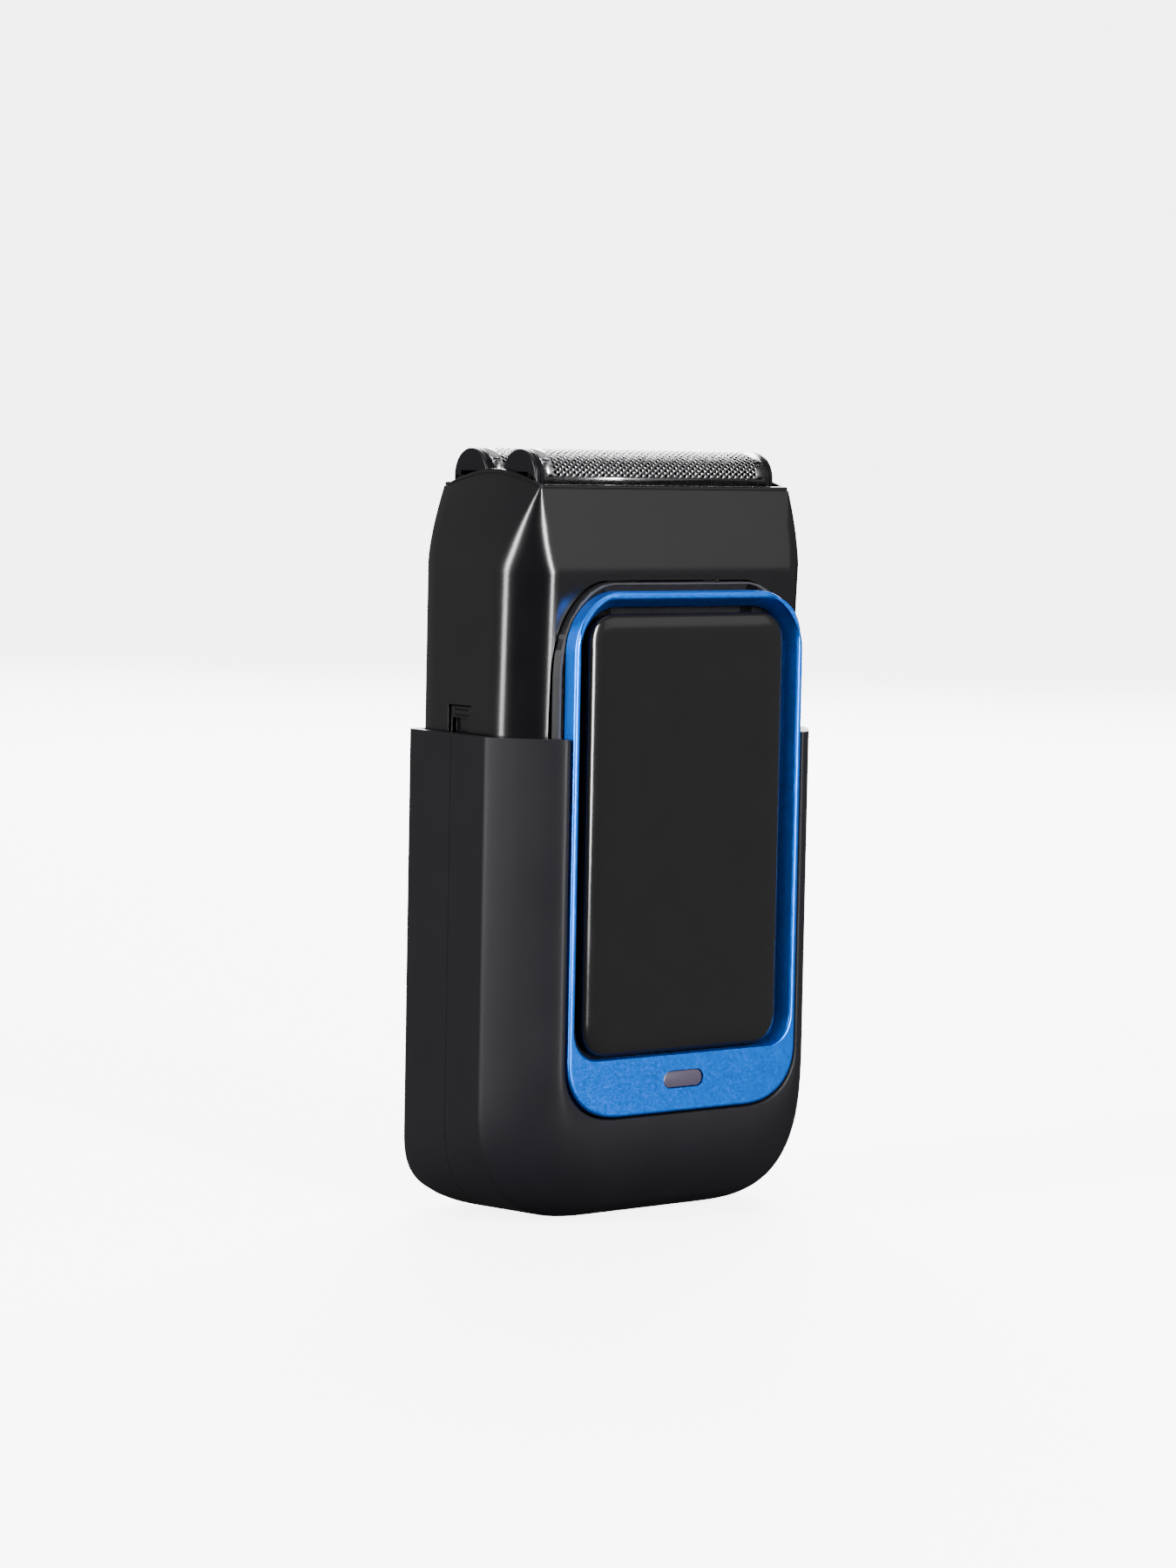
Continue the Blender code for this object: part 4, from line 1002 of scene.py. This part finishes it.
def make_foil(place, y):
    """A perforated foil, rolled over its half round and given its thickness."""
    points, faces = [], []
    for polygon in foil_sheet():
        faces.append(tuple(range(len(points), len(points) + len(polygon))))
        for x, arc in polygon:
            across, z = dome_point(arc, FOIL_RADIUS)
            points.append((x, y + across, z))
    name = f"foil_mesh_{place}"
    foil = piece_from(name, points, faces, FOIL_STEEL, f"foil_unit_{place}", (f"foil_{place}",), 50.0)
    thick = foil.modifiers.new("sheet", "SOLIDIFY")
    thick.thickness = FOIL_SHEET / 1000
    thick.offset = -1.0
    return foil


def arch_loop(x, y, radius, bottom, steps):
    """A half round about a foil's line, on straight legs down to the bottom."""
    loop = [(x, y - radius, bottom)]
    for step in range(steps + 1):
        angle = math.pi * step / steps
        loop.append((x, y - radius * math.cos(angle), FOIL_AXIS_Z + radius * math.sin(angle)))
    return loop + [(x, y + radius, bottom)]


def make_foil_cap(place, y, side, sign):
    """A black end cap with two fine beads round it and a slightly crowned face."""
    profile = [(FOIL_HALF_LENGTH + CAP_GAP + x, inset) for x, inset in CAP_BEADS]
    profile += [(CAP_OUTER_X - x, inset) for x, inset in CAP_CROWN]
    loops = []
    for x, inset in profile:
        loops.append(arch_loop(sign * x, y, FOIL_RADIUS - inset, FOIL_SKIRT_Z + inset, CAP_STEPS))
    points, faces = loft(loops)
    name = f"end_cap_{place}_{side}"
    node = f"foil_cap_{place}_{side}"
    return piece_from(name, points, faces, CAP_BLACK, f"foil_unit_{place}", (node,), 50.0)


def make_cutter(place, y):
    """A row of thin half-round blades on a spine, as one comb."""
    node = f"cutter_block_{place}"
    low, high = node_mm(node)
    radius = (high[1] - low[1]) / 2
    shapes = []
    for index in range(int((high[0] - low[0]) / BLADE_PITCH)):
        x = low[0] + BLADE_PITCH * (index + BLADE_START)
        shapes.append(loft([arch_loop(end, y, radius, low[2], BLADE_STEPS) for end in (x, x + BLADE)]))
    spine_low = (low[0], y - SPINE_HALF_DEPTH, low[2])
    shapes.append(block(spine_low, (high[0], y + SPINE_HALF_DEPTH, low[2] + SPINE_HEIGHT)))
    points, faces = [], []
    for more_points, more_faces in shapes:
        faces += [tuple(index + len(points) for index in face) for face in more_faces]
        points += more_points
    return piece_from(f"cutter_comb_{place}", points, faces, BLADE_STEEL, f"cutter_{place}", (node,), 40.0)


# ---------------------------------------------------------------- side catches


def make_latch(side, sign):
    """The side catch: a plate with a thumb ridge over a sunk pocket."""
    node = f"latch_{side}"
    low, high = node_mm(node)
    reach = max(abs(low[0]), abs(high[0])) - CATCH_SINK
    root = min(abs(low[0]), abs(high[0]))
    x_low, x_high = sorted((sign * reach, sign * root))
    points, faces = block((x_low, low[1], low[2]), (x_high, high[1], high[2]))
    latch = piece_from(f"side_catch_{side}", points, faces, GLOSS_BLACK, f"latch_{side}", (node,))
    middle = (low[1] + high[1]) / 2
    for z_low, z_high, depth, y_low, y_high in CATCH_CUTS:
        cut_low, cut_high = sorted((sign * (reach - depth), sign * (reach + 1.0)))
        cut(latch, *block((cut_low, middle + y_low, z_low), (cut_high, middle + y_high, z_high)))
    add_bevel(latch, CATCH_EDGE, 2, RIM_EDGE_ANGLE)
    latch.data.materials.clear()
    latch.data.materials.append(GLOSS_BLACK)
    return latch


# ---------------------------------------------------------------- springs


def make_spring(node, body, axis):
    """A spring copied from its CAD node in plain steel, riding on the body of its joint."""
    source = frame["nodes"][node]
    mesh = source.data.copy()
    mesh.transform(source.matrix_world)
    spring = piece_of_mesh(f"coil_{node}", mesh, PLAIN_STEEL, body, (node,), 50.0)
    low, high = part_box(node)
    moving_end = [(a + b) / 2 for a, b in zip(low, high)]
    moving_end[axis] = max((low[axis], high[axis]), key=abs)
    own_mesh(spring)


def make_springs():
    """All eight springs that work at a joint."""
    for place in FOIL_YS:
        make_spring(f"cutter_spring_{place}", f"cutter_{place}", 2)
        for side in LEFT_RIGHT:
            node = f"foil_spring_{place}_{side}"
            make_spring(node, f"foil_unit_{place}", 2)
    for side in LEFT_RIGHT:
        make_spring(f"latch_spring_{side}", f"latch_{side}", 0)


# ---------------------------------------------------------------- studio


def make_floor():
    """A wide pale disc, which the object doesn't mirror."""
    mesh = bpy.data.meshes.new("floor")
    bm = bmesh.new()
    bmesh.ops.create_circle(bm, cap_ends=True, segments=64, radius=FLOOR_RADIUS)
    bmesh.ops.translate(bm, vec=(0, 0, -FLOOR_DROP), verts=bm.verts)
    bm.to_mesh(mesh)
    bm.free()
    floor = bpy.data.objects.new("floor", mesh)
    bpy.context.scene.collection.objects.link(floor)
    floor.visible_glossy = False
    floor.visible_diffuse = False
    paint = new_material("floor_paint", (0.90, 0.90, 0.90), 0.7, Emission_Strength=FLOOR_GLOW)
    paint.node_tree.nodes["Principled BSDF"].inputs["Emission Color"].default_value = (1.0, 1.0, 1.0, 1.0)
    bump_from(paint, noise(paint, 60.0), 0.03, 0.2)
    mesh.materials.append(paint)


def make_world():
    """White where the camera sees it, and as light on the object two soft bright sides with dark between."""
    world = bpy.data.worlds.new("studio")
    world.use_nodes = True
    nodes, links = world.node_tree.nodes, world.node_tree.links
    direction = nodes.new("ShaderNodeTexCoord")
    along = nodes.new("ShaderNodeVectorMath")
    along.operation = "DOT_PRODUCT"
    along.inputs[1].default_value = SURROUND_AXIS
    squared = nodes.new("ShaderNodeMath")
    squared.operation = "MULTIPLY"
    glow = nodes.new("ShaderNodeMapRange")
    glow.inputs["To Min"].default_value = SURROUND_LOW
    glow.inputs["To Max"].default_value = SURROUND_HIGH
    seen = nodes.new("ShaderNodeLightPath")
    level = nodes.new("ShaderNodeMapRange")
    level.inputs["To Max"].default_value = SURROUND_SEEN
    links.new(direction.outputs["Generated"], along.inputs[0])
    links.new(along.outputs["Value"], squared.inputs[0])
    links.new(along.outputs["Value"], squared.inputs[1])
    links.new(squared.outputs["Value"], glow.inputs["Value"])
    links.new(glow.outputs["Result"], level.inputs["To Min"])
    links.new(seen.outputs["Is Camera Ray"], level.inputs["Value"])
    links.new(level.outputs["Result"], nodes["Background"].inputs["Strength"])
    nodes["Background"].inputs["Color"].default_value = (1.0, 1.0, 1.0, 1.0)
    bpy.context.scene.world = world


def area_light(name, place, aim, width, height, power):
    """A soft rectangular light that the camera doesn't see."""
    data = bpy.data.lights.new(name, "AREA")
    data.shape = "RECTANGLE"
    data.size = width
    data.size_y = height
    data.energy = power
    data.spread = math.radians(LIGHT_SPREAD)
    light = bpy.data.objects.new(name, data)
    light.location = place
    light.visible_camera = False
    direction = Vector(aim) - Vector(place)
    light.rotation_euler = direction.to_track_quat("-Z", "Y").to_euler()
    bpy.context.scene.collection.objects.link(light)
    return light


def make_studio():
    """Floor, surround, a soft sun above and the area lights."""
    make_floor()
    make_world()
    sky = bpy.data.lights.new("top_soft", "SUN")
    sky.energy = SUN_POWER
    sky.angle = math.radians(SUN_ANGLE)
    top = bpy.data.objects.new("top_soft", sky)
    bpy.context.scene.collection.objects.link(top)
    for name, place, width, height, power in AREA_LIGHTS:
        area_light(name, place, LIGHT_AIM, width, height, power)


def make_camera():
    """The photograph's view: in front and to the left, a little above, with a slight roll."""
    place = Vector(CAMERA_PLACE)
    yaw, pitch, roll = (math.radians(angle) for angle in CAMERA_TURN)
    forward = Vector((math.sin(yaw) * math.cos(pitch), math.cos(yaw) * math.cos(pitch), -math.sin(pitch)))
    level = Vector((math.cos(yaw), -math.sin(yaw), 0.0))
    upward = level.cross(forward)
    right = level * math.cos(roll) + upward * math.sin(roll)
    upright = upward * math.cos(roll) - level * math.sin(roll)
    data = bpy.data.cameras.new("camera")
    data.lens = CAMERA_LENS
    data.sensor_width = 36.0
    data.clip_start = 0.01
    camera = bpy.data.objects.new("camera", data)
    turn = Matrix((right, upright, -forward)).transposed()
    camera.matrix_world = Matrix.Translation(place) @ turn.to_4x4()
    bpy.context.scene.collection.objects.link(camera)
    bpy.context.scene.camera = camera


make_camera()
make_studio()
dress_cad_nodes()
make_front_casing()
make_rear_casing()
make_collar()
make_head_casing()
make_bezel()
make_blue_frame()
make_indicator()
make_key()
for foil_place, foil_y in FOIL_YS.items():
    make_foil(foil_place, foil_y)
    make_cutter(foil_place, foil_y)
    for cap_side, cap_sign in LEFT_RIGHT.items():
        make_foil_cap(foil_place, foil_y, cap_side, cap_sign)
for latch_side, latch_sign in LEFT_RIGHT.items():
    make_latch(latch_side, latch_sign)
make_springs()
